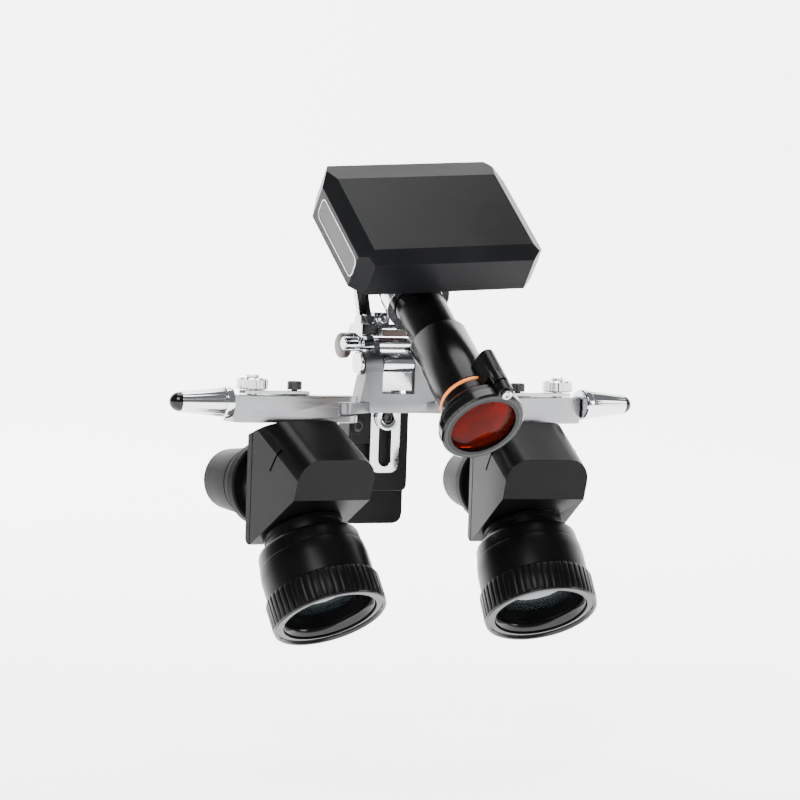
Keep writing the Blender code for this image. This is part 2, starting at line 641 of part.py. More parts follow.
def make_pd_slider(bar, side, word):
    """Block in the arm's slot with a thin forked leaf on top that reaches under the knob."""
    half_height = ARM_HEIGHT / 2
    leaf_low = half_height + RUN_GAP
    leaf_top = leaf_low + LEAF_THICKNESS
    centre = side * SCOPE_X
    body = block((centre - SLIDER_LENGTH / 2, -SLIDER_WIDTH / 2, -half_height + RUN_GAP),
                 (centre + SLIDER_LENGTH / 2, SLIDER_WIDTH / 2, leaf_top - 0.2 * MM))
    slider = add_object("pd_slider_" + word, body, bar, finish=(STEEL, 0.25, 1.0))
    outer = KNOB_X + PD_TRAVEL
    low_x, high_x = sorted((side * (SCOPE_X - LEAF_INNER), side * outer))
    leaf = block((low_x, -LEAF_WIDTH / 2, leaf_low), (high_x, LEAF_WIDTH / 2, leaf_top))
    add(slider, add_object("leaf_tool", leaf, bar))
    notch_inner = KNOB_X - KNOB_SHANK_RADIUS - PD_TRAVEL - RUN_GAP
    low_x, high_x = sorted((side * notch_inner, side * (outer + MM)))
    notch_half = KNOB_SHANK_RADIUS + RUN_GAP
    notch = block((low_x, -notch_half, leaf_low - MM), (high_x, notch_half, leaf_top + MM))
    hole = turned(disc_profile(PIVOT_SCREW_RADIUS + RUN_GAP, -10 * MM, 10 * MM), SMALL_ROUND)
    cut(slider, add_object("leaf_notch_tool", notch, bar),
        add_object("pivot_hole_tool", hole, bar, at(centre, 0, 0)))


def housing_outline():
    """Side view (y, z) of a prism housing, its lower back corner rounded."""
    rear, rear_top = HOUSING_REAR_TOP
    front, front_bottom = HOUSING_FRONT_BOTTOM
    slope = math.cos(DECLINATION) / math.sin(DECLINATION)
    corner_z = front_bottom - (rear - front) * slope
    reach = HOUSING_CORNER / math.tan(DECLINATION / 2)
    centre = (rear - HOUSING_CORNER, corner_z + reach)
    corner = arc(centre, HOUSING_CORNER, DECLINATION - math.pi, 0.0, 4)
    return [HOUSING_FRONT_TOP, HOUSING_FRONT_BOTTOM] + corner + [HOUSING_REAR_TOP, HOUSING_RIDGE]


def shoulder_outline():
    """Cross section of the housing across its sloping top: upright sides, round shoulders."""
    half = HOUSING_WIDTH / 2
    radius = HOUSING_SHOULDER
    right = arc((half - radius, -radius), radius, 0.0, math.pi / 2, 5)
    left = [(-x, z) for x, z in reversed(right)]
    return [(-half, -40 * MM), (half, -40 * MM)] + right + left


def make_housing(scope, word):
    """Prism housing, its rear cover and the prism, in the telescope's frame."""
    half = HOUSING_WIDTH / 2
    rise = HOUSING_RIDGE[1] - HOUSING_FRONT_TOP[1]
    run = HOUSING_RIDGE[0] - HOUSING_FRONT_TOP[0]
    top_slope = math.atan2(rise, run)
    seam = HOUSING_REAR_TOP[0] - HOUSING_COVER_THICKNESS
    shoulders = prism(shoulder_outline(), -60 * MM, 60 * MM, "XZ")
    slope_place = Matrix.Translation((0, HOUSING_RIDGE[0], HOUSING_RIDGE[1]))
    slope_place = slope_place @ Matrix.Rotation(top_slope, 4, "X")
    shoulder_tool = add_object("shoulder_tool", shoulders, scope, slope_place)
    eyepiece_bore = turned(disc_profile(EYE_TUBE_RADIUS - EYE_TUBE_WALL, -MM, 20 * MM), 20)
    eyepiece_tool = add_object("eyepiece_bore_tool", eyepiece_bore, scope,
                               at(0, OPTIC_Y, OPTIC_Z, "Y"))

    body = add_object("prism_housing_" + word, prism(housing_outline(), -half, half, "YZ"), scope,
                      finish=(BLACK, 0.38, 0.0))
    combine(body, shoulder_tool, "INTERSECT")
    rear_cut = block((-half - MM, seam - SEAT_GAP, -60 * MM), (half + MM, 20 * MM, 20 * MM))
    pocket_half = half - 2 * HOUSING_WALL
    pocket = block((-pocket_half, -10.5 * MM, OPTIC_Z - 4.5 * MM),
                   (pocket_half, 20 * MM, OPTIC_Z + 8.0 * MM))
    path = turned(disc_profile(LIGHT_PATH_RADIUS, 7.0 * MM, 20 * MM), 20)
    path_place = objective_place()
    seat = turned(disc_profile(SPIGOT_RADIUS + SEAT_GAP, NECK_START - SPIGOT_LENGTH - SEAT_GAP,
                               20 * MM), 20)
    boss = turned(disc_profile(2.7 * MM, -8.0 * MM, -ARM_HEIGHT / 2 - RUN_GAP), 20)
    hole = turned(disc_profile(PIVOT_SCREW_RADIUS + SEAT_GAP, -8.8 * MM, 10 * MM), SMALL_ROUND)
    cut(body, add_object("rear_cut_tool", rear_cut, scope),
        add_object("prism_pocket_tool", pocket, scope),
        add_object("objective_path_tool", path, scope, path_place),
        add_object("spigot_seat_tool", seat, scope, path_place))
    add(body, add_object("pivot_boss_tool", boss, scope))
    cut(body, add_object("pivot_screw_hole_tool", hole, scope))

    cover = add_object("housing_cover_" + word, prism(housing_outline(), -half, half, "YZ"), scope,
                       finish=(BLACK, 0.38, 0.0))
    combine(cover, shoulder_tool, "INTERSECT")
    front_cut = block((-half - MM, -60 * MM, -60 * MM), (half + MM, seam, 20 * MM))
    boss_room = turned(disc_profile(2.7 * MM + SEAT_GAP, -9.0 * MM, 10 * MM), 20)
    cut(cover, add_object("front_cut_tool", front_cut, scope), eyepiece_tool,
        add_object("boss_room_tool", boss_room, scope))

    glass_half = pocket_half - SEAT_GAP
    glass_low = OPTIC_Z - 4.1 * MM
    glass_high = OPTIC_Z + 7.6 * MM
    glass = [(-10.0 * MM, glass_low + 2.0 * MM), (-8.0 * MM, glass_low), (-1.0 * MM, glass_low),
             (0.6 * MM, glass_low + 2.0 * MM), (0.6 * MM, glass_high), (-10.0 * MM, glass_high)]
    add_object("prism_" + word, prism(glass, -glass_half, glass_half, "YZ"), scope,
               finish=((0.7, 0.8, 0.85), 0.02, 0.0))


def make_pivot_screw(scope, word):
    base = ARM_HEIGHT / 2 + RUN_GAP + LEAF_THICKNESS + RUN_GAP
    profile = [(0, -8.5 * MM), (PIVOT_SCREW_RADIUS, -8.5 * MM), (PIVOT_SCREW_RADIUS, base),
               (PIVOT_HEAD_RADIUS, base), (PIVOT_HEAD_RADIUS, base + PIVOT_HEAD_HEIGHT - 0.4 * MM),
               (PIVOT_HEAD_RADIUS - 0.4 * MM, base + PIVOT_HEAD_HEIGHT),
               (0, base + PIVOT_HEAD_HEIGHT)]
    add_object("pivot_screw_" + word, turned(profile, SMALL_ROUND), scope,
               finish=(BLACK, 0.35, 0.6))


def objective_place():
    """Frame whose z axis runs down the objective from the crossing of the axes."""
    return (Matrix.Translation((0, OPTIC_Y, OPTIC_Z))
            @ Matrix.Rotation(math.pi / 2 + DECLINATION, 4, "X"))


def make_objective(scope, word):
    """Neck and barrel, the front lens in its seat, and the focus ring on its thread."""
    place = objective_place()
    bore = LENS_RADIUS + SEAT_GAP
    seat = BARREL_END - 0.5 * MM
    thread_end = BARREL_END + 4.2 * MM
    barrel = [(LIGHT_PATH_RADIUS, NECK_START - SPIGOT_LENGTH), (SPIGOT_RADIUS, NECK_START - SPIGOT_LENGTH),
              (SPIGOT_RADIUS, NECK_START), (NECK_RADIUS, NECK_START), (NECK_RADIUS, BARREL_START),
              (BARREL_TOP_RADIUS - 0.6 * MM, BARREL_START), (BARREL_TOP_RADIUS, BARREL_START + 0.7 * MM),
              (BARREL_TOP_RADIUS + 0.3 * MM, BARREL_START + 4.0 * MM),
              (BARREL_FRONT_RADIUS, BARREL_START + 7.0 * MM), (BARREL_FRONT_RADIUS, BARREL_END),
              (THREAD_RADIUS, BARREL_END), (THREAD_RADIUS, thread_end),
              (bore, thread_end), (bore, seat), (LIGHT_PATH_RADIUS + 2.6 * MM, seat),
              (LIGHT_PATH_RADIUS, NECK_START + 3.0 * MM)]
    add_object("objective_barrel_" + word, turned(barrel), scope, place, (BLACK, 0.35, 0.0))
    lens = [(0, seat + SEAT_GAP), (LENS_RADIUS, seat + SEAT_GAP),
            (LENS_RADIUS, seat + SEAT_GAP + 0.6 * LENS_THICKNESS),
            (0.6 * LENS_RADIUS, seat + SEAT_GAP + 0.9 * LENS_THICKNESS),
            (0, seat + SEAT_GAP + LENS_THICKNESS)]
    add_object("objective_lens_" + word, turned(lens, 24), scope, place,
               ((0.7, 0.8, 0.85), 0.02, 0.0))
    inner = THREAD_RADIUS + RUN_GAP
    start = BARREL_END + RUN_GAP
    lip = thread_end + RUN_GAP
    ring = [(inner, start), (FOCUS_RADIUS - 0.3 * MM, start), (FOCUS_RADIUS, start + 0.3 * MM),
            (FOCUS_RADIUS, FOCUS_END - 0.9 * MM), (FOCUS_RADIUS - 0.9 * MM, FOCUS_END),
            (inner + 0.9 * MM, FOCUS_END), (LENS_RADIUS, lip + 0.8 * MM), (LENS_RADIUS, lip),
            (inner, lip)]
    add_object("focus_ring_" + word, turned(ring, 36), scope, place, (BLACK, 0.4, 0.0))


def make_eyepiece(scope, word):
    """Fixed tube with its flange, and the dioptre eyepiece that turns on it."""
    place = at(0, OPTIC_Y, OPTIC_Z, "Y")
    flange_start = HOUSING_REAR_TOP[0] - OPTIC_Y + SEAT_GAP
    bore = EYE_TUBE_RADIUS - EYE_TUBE_WALL
    tube = [(bore, flange_start), (FLANGE_RADIUS, flange_start), (FLANGE_RADIUS, FLANGE_END),
            (EYE_TUBE_RADIUS, FLANGE_END), (EYE_TUBE_RADIUS, EYE_TUBE_END), (bore, EYE_TUBE_END)]
    add_object("eyepiece_tube_" + word, turned(tube, 24), scope, place, (BLACK, 0.4, 0.0))
    inner = EYE_TUBE_RADIUS + RUN_GAP
    start = FLANGE_END + RUN_GAP
    seat = EYE_TUBE_END + RUN_GAP
    lens_end = seat + 3.6 * MM
    lens_bore = EYE_LENS_RADIUS + SEAT_GAP
    cup = [(inner, start), (DIOPTER_RADIUS - 0.4 * MM, start),
           (DIOPTER_RADIUS, start + 0.4 * MM), (DIOPTER_RADIUS, DIOPTER_END),
           (EYECUP_BASE_RADIUS, DIOPTER_END + 0.5 * MM),
           (EYECUP_TIP_RADIUS, EYECUP_END - 0.6 * MM), (EYECUP_TIP_RADIUS - 0.6 * MM, EYECUP_END),
           (EYECUP_TIP_RADIUS - 1.2 * MM, EYECUP_END),
           (lens_bore, lens_end), (lens_bore, seat), (inner, seat)]
    add_object("eyecup_" + word, turned(cup), scope, place, (BLACK, 0.6, 0.0))
    lens = [(0, seat + 0.2 * MM), (EYE_LENS_RADIUS, seat + 0.5 * MM),
            (EYE_LENS_RADIUS, lens_end - 0.8 * MM),
            (0, lens_end)]
    add_object("eyepiece_lens_" + word, turned(lens, 20), scope, place,
               ((0.7, 0.8, 0.85), 0.02, 0.0))


def make_light_bracket(bar):
    """Saddles on the cross shaft, the bridge over them, and the lug for the tilt knob."""
    feet_low = SHAFT_Z + SHAFT_RADIUS + SEAT_GAP
    feet_high = feet_low + FOOT_HEIGHT
    bridge_high = feet_high + SEAT_GAP + BRIDGE_THICKNESS
    front = SHAFT_Y - BRIDGE_FRONT
    back = SHAFT_Y + BRIDGE_BACK
    bridge = block((-BRIDGE_HALF, front, feet_high + SEAT_GAP), (BRIDGE_HALF, back, bridge_high))
    body = add_object("light_bracket", bridge, bar, finish=(CHROME, 0.12, 1.0))
    saddle_radius = SHAFT_RADIUS + RUN_GAP + SADDLE_WALL
    for side in (-1, 1):
        inner, outer = sorted((side * (PAD_HALF + SEAT_GAP), side * BRIDGE_HALF))
        foot = block((inner, front, feet_low), (outer, back, bridge_high - 0.2 * MM))
        inner, outer = sorted((side * SADDLE_INNER, side * SADDLE_OUTER))
        saddle = turned(disc_profile(saddle_radius, inner, outer), 20)
        saddle_tool = add_object("saddle_tool", saddle, bar, at(0, SHAFT_Y, SHAFT_Z, "X"))
        opening = block((inner - MM, SHAFT_Y - 2 * saddle_radius, SHAFT_Z - 2 * saddle_radius),
                        (outer + MM, SHAFT_Y + 2 * saddle_radius, SHAFT_Z - 0.8 * MM))
        cut(saddle_tool, add_object("saddle_opening_tool", opening, bar))
        inner, outer = sorted((side * (BRIDGE_HALF - CHEEK_WIDTH), side * BRIDGE_HALF))
        cheek = block((inner, front + 0.8 * MM, bridge_high - 0.3 * MM),
                      (outer, back - 1.9 * MM, bridge_high + CHEEK_HEIGHT))
        inner, outer = sorted((side * 2.0 * MM, side * (BRIDGE_HALF - CHEEK_WIDTH - 0.3 * MM)))
        seat = block((inner, front + 0.4 * MM, bridge_high - 0.3 * MM),
                     (outer, front + 3.0 * MM, bridge_high + SCREW_SEAT_HEIGHT))
        add(body, add_object("foot_tool", foot, bar), saddle_tool,
            add_object("cheek_tool", cheek, bar), add_object("screw_seat_tool", seat, bar))
    knob_y = SHAFT_Y + TILT_KNOB_BEHIND
    knob_z = SHAFT_Z - TILT_KNOB_BELOW
    lug = prism([(SHAFT_Y + 2.4 * MM, knob_z - 1.3 * MM), (knob_y + 1.5 * MM, knob_z - 1.3 * MM),
                 (knob_y + 1.5 * MM, knob_z + 1.6 * MM), (back + 0.6 * MM, bridge_high - 0.2 * MM),
                 (SHAFT_Y + 2.4 * MM, bridge_high - 0.2 * MM)], -BRIDGE_HALF, -LUG_INNER, "YZ")
    add(body, add_object("knob_lug_tool", lug, bar))
    bore = turned(disc_profile(SHAFT_RADIUS + RUN_GAP, -15 * MM, 15 * MM), SMALL_ROUND)
    hole = turned(disc_profile(TILT_SCREW_RADIUS + RUN_GAP, -15 * MM, -6.5 * MM), SMALL_ROUND)
    cut(body, add_object("saddle_bore_tool", bore, bar, at(0, SHAFT_Y, SHAFT_Z, "X")),
        add_object("knob_screw_hole_tool", hole, bar, at(0, knob_y, knob_z, "X")))
    pad = block((-PAD_HALF, front + 0.3 * MM, feet_low), (PAD_HALF, back - 0.3 * MM, feet_high))
    add_object("friction_pad", pad, bar, finish=((0.03, 0.016, 0.010), 0.5, 0.0))

    head = 2.0 * BRACKET_SCREW_RADIUS
    screw_x = (2.0 * MM + BRIDGE_HALF - CHEEK_WIDTH - 0.3 * MM) / 2
    for side, word in ((1, "left"), (-1, "right")):
        place = at(side * screw_x, front + 0.4 * MM, bridge_high + SCREW_SEAT_HEIGHT / 2, "Y")
        one = turned([(0, -1.2 * MM), (head, -1.2 * MM), (head, -0.3 * MM),
                      (BRACKET_SCREW_RADIUS, -0.3 * MM), (BRACKET_SCREW_RADIUS, 1.8 * MM),
                      (0, 1.8 * MM)], 12)
        hole = turned(disc_profile(BRACKET_SCREW_RADIUS + 0.2 * MM, -2 * MM, 2.1 * MM), 12)
        cut(body, add_object("bracket_screw_hole_tool", hole, bar, place))
        add_object("bracket_screw_" + word, one, bar, place, (STEEL, 0.2, 1.0))
    return bridge_high, back


def make_tilt_knob(bar):
    """Clamp knob beside the bracket's lug, its screw running into the lug."""
    place = at(0, SHAFT_Y + TILT_KNOB_BEHIND, SHAFT_Z - TILT_KNOB_BELOW, "X")
    inner = -BRIDGE_HALF - RUN_GAP
    outer = inner - TILT_KNOB_THICKNESS
    edge = 0.3 * MM
    profile = [(0, outer), (TILT_KNOB_RADIUS - edge, outer), (TILT_KNOB_RADIUS, outer + edge),
               (TILT_KNOB_RADIUS, inner - edge), (TILT_KNOB_RADIUS - edge, inner),
               (TILT_SCREW_RADIUS, inner), (TILT_SCREW_RADIUS, -LUG_INNER), (0, -LUG_INNER)]
    add_object("tilt_knob", turned(profile, 20), bar, place, ((0.03, 0.017, 0.012), 0.35, 0.2))


def light_place(roll):
    """Frame with its origin at the light's mouth and its z axis up the tube."""
    return (Matrix.Translation((0, MOUTH_Y, MOUTH_Z))
            @ Matrix.Rotation(LIGHT_DOWN - math.pi / 2, 4, "X") @ Matrix.Rotation(-roll, 4, "Z"))


def make_tube_clamp(bar, light_axis, bridge_high, bridge_back):
    """Two leaning posts on the bracket, and the yoke and ring that hold the light's tube."""
    ring_outer = UPPER_TUBE_RADIUS + RUN_GAP + CLAMP_WALL
    ring = turned(disc_profile(ring_outer, CLAMP_BOTTOM, CLAMP_TOP))
    clamp = add_object("tube_clamp", ring, light_axis, finish=((0.08, 0.08, 0.085), 0.4, 0.6))
    spine_back = YOKE_BEHIND + YOKE_THICKNESS
    foot_z = bridge_high + SEAT_GAP
    foot_y = bridge_back - POST_DEPTH / 2
    top_up = BOX_MIDDLE + 8.3 * MM
    spine = block((-SPINE_HALF, YOKE_BEHIND - 0.6 * MM, CLAMP_BOTTOM),
                  (SPINE_HALF, spine_back, top_up))
    bar_half = POST_X + POST_WIDTH / 2
    yoke = block((-bar_half, YOKE_BEHIND, top_up - 3.5 * MM), (bar_half, spine_back, top_up))
    add(clamp, add_object("spine_tool", spine, light_axis), add_object("yoke_tool", yoke, light_axis))
    to_light = light_place(0.0).inverted()
    yoke_middle = Vector((0, YOKE_BEHIND + YOKE_THICKNESS / 2, top_up - 2.0 * MM))
    yoke_middle = light_place(0.0) @ yoke_middle
    rise = yoke_middle.z - foot_z
    run = yoke_middle.y - foot_y
    lean = math.atan2(run, rise)
    length = math.hypot(run, rise)
    for side in (-1, 1):
        post = block((-POST_WIDTH / 2, -POST_DEPTH / 2, 0), (POST_WIDTH / 2, POST_DEPTH / 2, length))
        place = Matrix.Translation((side * POST_X, foot_y, foot_z))
        place = to_light @ place @ Matrix.Rotation(-lean, 4, "X")
        add(clamp, add_object("post_tool", post, light_axis, place))
    level = to_light @ Matrix.Translation((0, foot_y, foot_z))
    below = block((-20 * MM, -3 * MM, -5 * MM), (20 * MM, 3 * MM, 0))
    bore = turned(disc_profile(UPPER_TUBE_RADIUS + RUN_GAP, CLAMP_BOTTOM - MM, CLAMP_TOP + MM))
    cut(clamp, add_object("post_foot_tool", below, light_axis, level),
        add_object("clamp_bore_tool", bore, light_axis))


def make_battery_box(light):
    """Chamfered case with its back cover, the touch panels at its ends and the cell inside."""
    half = BOX_WIDTH / 2
    left = BOX_ASIDE + half
    right = BOX_ASIDE - half
    front = -BOX_AHEAD - BOX_THICKNESS / 2
    back = -BOX_AHEAD + BOX_THICKNESS / 2
    low = BOX_MIDDLE - BOX_HEIGHT / 2
    high = BOX_MIDDLE + BOX_HEIGHT / 2
    edge = BOX_EDGE_CHAMFER
    shoulder = high - BOX_TOP_CHAMFER
    side_view = [(back, low), (back, high), (front + BOX_TOP_SLANT, high), (front, shoulder),
                 (front, low + edge), (front + edge, low)]
    corner = BOX_CORNER_CHAMFER
    top_view = [(right, back), (left, back), (left, front + 0.75 * corner), (left - corner, front),
                (right + corner, front), (right, front + 0.75 * corner)]
    front_view = [(right, low + corner), (right + corner, low), (left - corner, low),
                  (left, low + corner), (left, shoulder), (left - corner, high),
                  (right + corner, high), (right, shoulder)]
    case = add_object("battery_case", prism(side_view, right, left, "YZ"), light,
                      finish=(BLACK, 0.45, 0.0))
    trim = add_object("box_top_view_tool", prism(top_view, low - MM, high + MM, "XY"), light)
    combine(case, trim, "INTERSECT")
    trim = add_object("box_front_view_tool", prism(front_view, front - MM, back + MM, "XZ"), light)
    combine(case, trim, "INTERSECT")
    room_left = left - BOX_WALL
    room_right = right + BOX_WALL
    room_low = low + BOX_WALL
    room_high = shoulder + 1.2 * MM
    room_front = front + BOX_WALL + 0.3 * MM
    room = block((room_right, room_front, room_low), (room_left, back + MM, room_high))
    cut(case, add_object("box_room_tool", room, light))

    cover = block((room_right + SEAT_GAP, back - COVER_THICKNESS, room_low + SEAT_GAP),
                  (room_left - SEAT_GAP, back, room_high - SEAT_GAP))
    cover = add_object("battery_cover", cover, light, finish=(BLACK, 0.45, 0.0))
    saddle_low = CLAMP_TOP + 2 * RUN_GAP
    saddle = block((-BOX_SADDLE_HALF_WIDTH, back - 0.5 * MM, saddle_low),
                   (BOX_SADDLE_HALF_WIDTH, -3.5 * MM, saddle_low + BOX_SADDLE_LENGTH))
    add(cover, add_object("box_saddle_tool", saddle, light))
    bore = turned(disc_profile(UPPER_TUBE_RADIUS + SEAT_GAP, 30 * MM, 70 * MM))
    cut(cover, add_object("box_saddle_bore_tool", bore, light))

    for side, word in ((1, "left"), (-1, "right")):
        end = BOX_ASIDE + side * half
        middle_y = (front + back) / 2 + 0.8 * MM
        panel_outline = rounded_panel(TOUCH_WIDTH / 2, TOUCH_LENGTH / 2, middle_y)
        inner, outer = sorted((end - side * TOUCH_THICKNESS, end))
        panel = prism(panel_outline, inner, outer, "YZ")
        add_object("touch_panel_" + word, panel, light, finish=((0.05, 0.05, 0.055), 0.3, 0.0))
        recess_outline = rounded_panel(TOUCH_WIDTH / 2 + SEAT_GAP, TOUCH_LENGTH / 2 + SEAT_GAP,
                                       middle_y)
        inner, outer = sorted((end - side * (TOUCH_THICKNESS + SEAT_GAP), end + side * MM))
        recess = prism(recess_outline, inner, outer, "YZ")
        cut(case, add_object("touch_recess_tool", recess, light))

    cell_y = (room_front + back - COVER_THICKNESS) / 2
    cell_z = (room_low + room_high) / 2
    centre = Vector((BOX_ASIDE, cell_y, cell_z))
    size = Vector(CELL_SIZE)
    add_object("battery_cell", block(centre - size / 2, centre + size / 2, 0.8 * MM), light,
               finish=((0.25, 0.27, 0.32), 0.4, 0.4))


def rounded_panel(half_width, half_length, middle_y):
    """Outline (y, z) of a touch panel at the middle of the battery box."""
    outline = rounded_box(half_width, -half_length, half_length, 1.6 * MM)
    return [(middle_y + y, BOX_MIDDLE + z - 2.6 * MM) for y, z in outline]


def make_light_tubes(light):
    """Upper and lower tubes, the coloured ring, the lamp and the lens in the mouth."""
    bore = LOWER_TUBE_RADIUS - TUBE_WALL
    floor = BEZEL_THICKNESS + 2 * RUN_GAP
    shelf = LOWER_TUBE_TOP - 1.8 * MM
    groove = LOWER_TUBE_RADIUS - 0.75 * MM
    half_groove = ACCENT_WIDTH / 2 + 0.25 * MM
    lower = [(bore, COLLAR_TOP), (COLLAR_RADIUS - 1.8 * MM, floor), (COLLAR_RADIUS, floor),
             (COLLAR_RADIUS, floor + 1.2 * MM), (LOWER_TUBE_RADIUS, COLLAR_TOP),
             (LOWER_TUBE_RADIUS, ACCENT_HEIGHT - half_groove), (groove, ACCENT_HEIGHT - half_groove),
             (groove, ACCENT_HEIGHT + half_groove), (LOWER_TUBE_RADIUS, ACCENT_HEIGHT + half_groove),
             (LOWER_TUBE_RADIUS, LOWER_TUBE_TOP - 0.4 * MM),
             (LOWER_TUBE_RADIUS - 0.4 * MM, LOWER_TUBE_TOP), (2 * MM, LOWER_TUBE_TOP),
             (2 * MM, shelf), (bore, shelf)]
    tube = add_object("lower_tube", turned(lower), light, finish=(BLACK, 0.4, 0.0))
    hinge = hinge_point()
    lug_start = COLLAR_TOP - 1.0 * MM
    lug = prism(capsule((0.6 * hinge[0], 0.6 * hinge[1]), hinge, FILTER_EAR_RADIUS), lug_start,
                LUG_TOP)
    nose = turned(disc_profile(FILTER_EAR_RADIUS, floor, lug_start + MM), SMALL_ROUND)
    room = turned(disc_profile(bore, floor, LUG_TOP + MM))
    cone = turned([(0, floor - MM), (COLLAR_RADIUS - 1.8 * MM, floor - MM),
                   (COLLAR_RADIUS - 1.8 * MM, floor), (bore, COLLAR_TOP), (0, COLLAR_TOP)])
    hole = turned(disc_profile(FILTER_SCREW_RADIUS + RUN_GAP, floor - MM, LUG_TOP - 2 * MM), 12)
    ring_room = turned(ring_profile(groove, LOWER_TUBE_RADIUS + 0.8 * MM,
                                    ACCENT_HEIGHT - half_groove, ACCENT_HEIGHT + half_groove))
    add(tube, add_object("filter_lug_tool", lug, light),
        add_object("filter_nose_tool", nose, light, Matrix.Translation((*hinge, 0))))
    cut(tube, add_object("tube_room_tool", room, light), add_object("mouth_tool", cone, light),
        add_object("lug_hole_tool", hole, light, Matrix.Translation((*hinge, 0))),
        add_object("accent_room_tool", ring_room, light))

    ring = ring_profile(groove + 0.3 * MM, LOWER_TUBE_RADIUS + 0.1 * MM,
                        ACCENT_HEIGHT - ACCENT_WIDTH / 2, ACCENT_HEIGHT + ACCENT_WIDTH / 2)
    add_object("accent_ring", turned(ring), light, finish=((0.9, 0.25, 0.02), 0.35, 0.0))
    inside = UPPER_TUBE_RADIUS - TUBE_WALL
    start = LOWER_TUBE_TOP + SEAT_GAP
    upper = [(0, UPPER_TUBE_TOP - 1.5 * MM), (inside, UPPER_TUBE_TOP - 1.5 * MM), (inside, start),
             (UPPER_TUBE_RADIUS, start), (UPPER_TUBE_RADIUS, UPPER_TUBE_TOP - 0.8 * MM),
             (UPPER_TUBE_RADIUS - 0.8 * MM, UPPER_TUBE_TOP), (0, UPPER_TUBE_TOP)]
    add_object("upper_tube", turned(upper), light, finish=(BLACK, 0.4, 0.0))
    reach = bore - SEAT_GAP
    lens = [(0, COLLAR_TOP - 1.2 * MM), (0.6 * reach, COLLAR_TOP - 0.9 * MM), (reach, COLLAR_TOP),
            (reach, COLLAR_TOP + 1.5 * MM), (0.35 * reach, COLLAR_TOP + 7.5 * MM),
            (0, COLLAR_TOP + 7.5 * MM)]
    add_object("collimator_lens", turned(lens, 20), light, finish=((0.9, 0.85, 0.8), 0.02, 0.0))
    board = disc_profile(reach, COLLAR_TOP + 8.0 * MM, COLLAR_TOP + 9.6 * MM)
    add_object("lamp_board", turned(board, 20), light, finish=((0.8, 0.8, 0.75), 0.4, 0.0))


def hinge_point():
    """Centre of the filter's hinge in the light's frame."""
    return (FILTER_HINGE_RADIUS * math.cos(FILTER_HINGE_ANGLE),
            FILTER_HINGE_RADIUS * math.sin(FILTER_HINGE_ANGLE))


def make_filter(light, filter_frame):
    """Amber glass in a ring that swings aside on a screw."""
    hinge = hinge_point()
    away = Matrix.Translation((-hinge[0], -hinge[1], 0))
    glass_low = 1.0 * MM
    lip = GLASS_RADIUS - 0.8 * MM
    seat = GLASS_RADIUS + SEAT_GAP
    ring = [(lip, 0), (BEZEL_RADIUS - 0.4 * MM, 0), (BEZEL_RADIUS, 0.4 * MM),
            (BEZEL_RADIUS, BEZEL_THICKNESS), (seat, BEZEL_THICKNESS), (seat, 0.7 * MM),
            (lip, 0.7 * MM)]
    frame = add_object("filter_frame", turned(ring, 32), filter_frame, away, (BLACK, 0.3, 0.0))
    ear = turned(disc_profile(FILTER_EAR_RADIUS, 0, BEZEL_THICKNESS), SMALL_ROUND)
    room = turned(disc_profile(seat, 0.7 * MM, BEZEL_THICKNESS + MM), 32)
    hole = turned(disc_profile(FILTER_SCREW_RADIUS + RUN_GAP, -MM, 5 * MM), 12)
    add(frame, add_object("filter_ear_tool", ear, filter_frame))
    cut(frame, add_object("filter_room_tool", room, filter_frame, away),
        add_object("filter_hole_tool", hole, filter_frame))
    glass = disc_profile(GLASS_RADIUS, glass_low, glass_low + GLASS_THICKNESS)
    add_object("filter_glass", turned(glass, 32), filter_frame, away, ((0.85, 0.2, 0.03), 0.05, 0.0))
    head = 1.8 * FILTER_SCREW_RADIUS
    screw = [(0, -RUN_GAP - 0.8 * MM), (head, -RUN_GAP - 0.8 * MM), (head, -RUN_GAP),
             (FILTER_SCREW_RADIUS, -RUN_GAP), (FILTER_SCREW_RADIUS, LUG_TOP - 3 * MM),
             (0, LUG_TOP - 3 * MM)]
    add_object("filter_screw", turned(screw, 12), light, Matrix.Translation((*hinge, 0)),
               (STEEL, 0.2, 1.0))


def main():
    clear_scene()
    make_mounting_plate()
    bar = empty("bar_frame", Matrix.Translation((0, -BAR_AHEAD, BAR_ABOVE)))
    make_guide(bar)
    make_height_slide(bar)
    make_flip_block(bar)
    make_cross_shaft(bar)
    for side, word in ((1, "left"), (-1, "right")):
        make_arm(bar, side, word)
        make_lock_knob(bar, side, word)
        make_pd_slider(bar, side, word)
        toe = Matrix.Rotation(-side * TOE_IN, 4, "Z")
        scope = empty("telescope_" + word, Matrix.Translation((side * SCOPE_X, 0, 0)) @ toe, bar)
        make_housing(scope, word)
        make_pivot_screw(scope, word)
        make_objective(scope, word)
        make_eyepiece(scope, word)
    bridge_high, bridge_back = make_light_bracket(bar)
    make_tilt_knob(bar)
    light_axis = empty("light_axis", light_place(0.0), bar)
    make_tube_clamp(bar, light_axis, bridge_high, bridge_back)
    light = empty("light_frame", light_place(LIGHT_ROLL), bar)
    make_battery_box(light)
    make_light_tubes(light)
    filter_frame = empty("filter_axis", Matrix.Translation((*hinge_point(), 0)), light)
    make_filter(light, filter_frame)


main()
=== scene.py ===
"""Looks for the flip-up dental loupes: finishes, fine detail, studio light and camera."""
import math

import bmesh
import bpy
from mathutils import Matrix, Vector


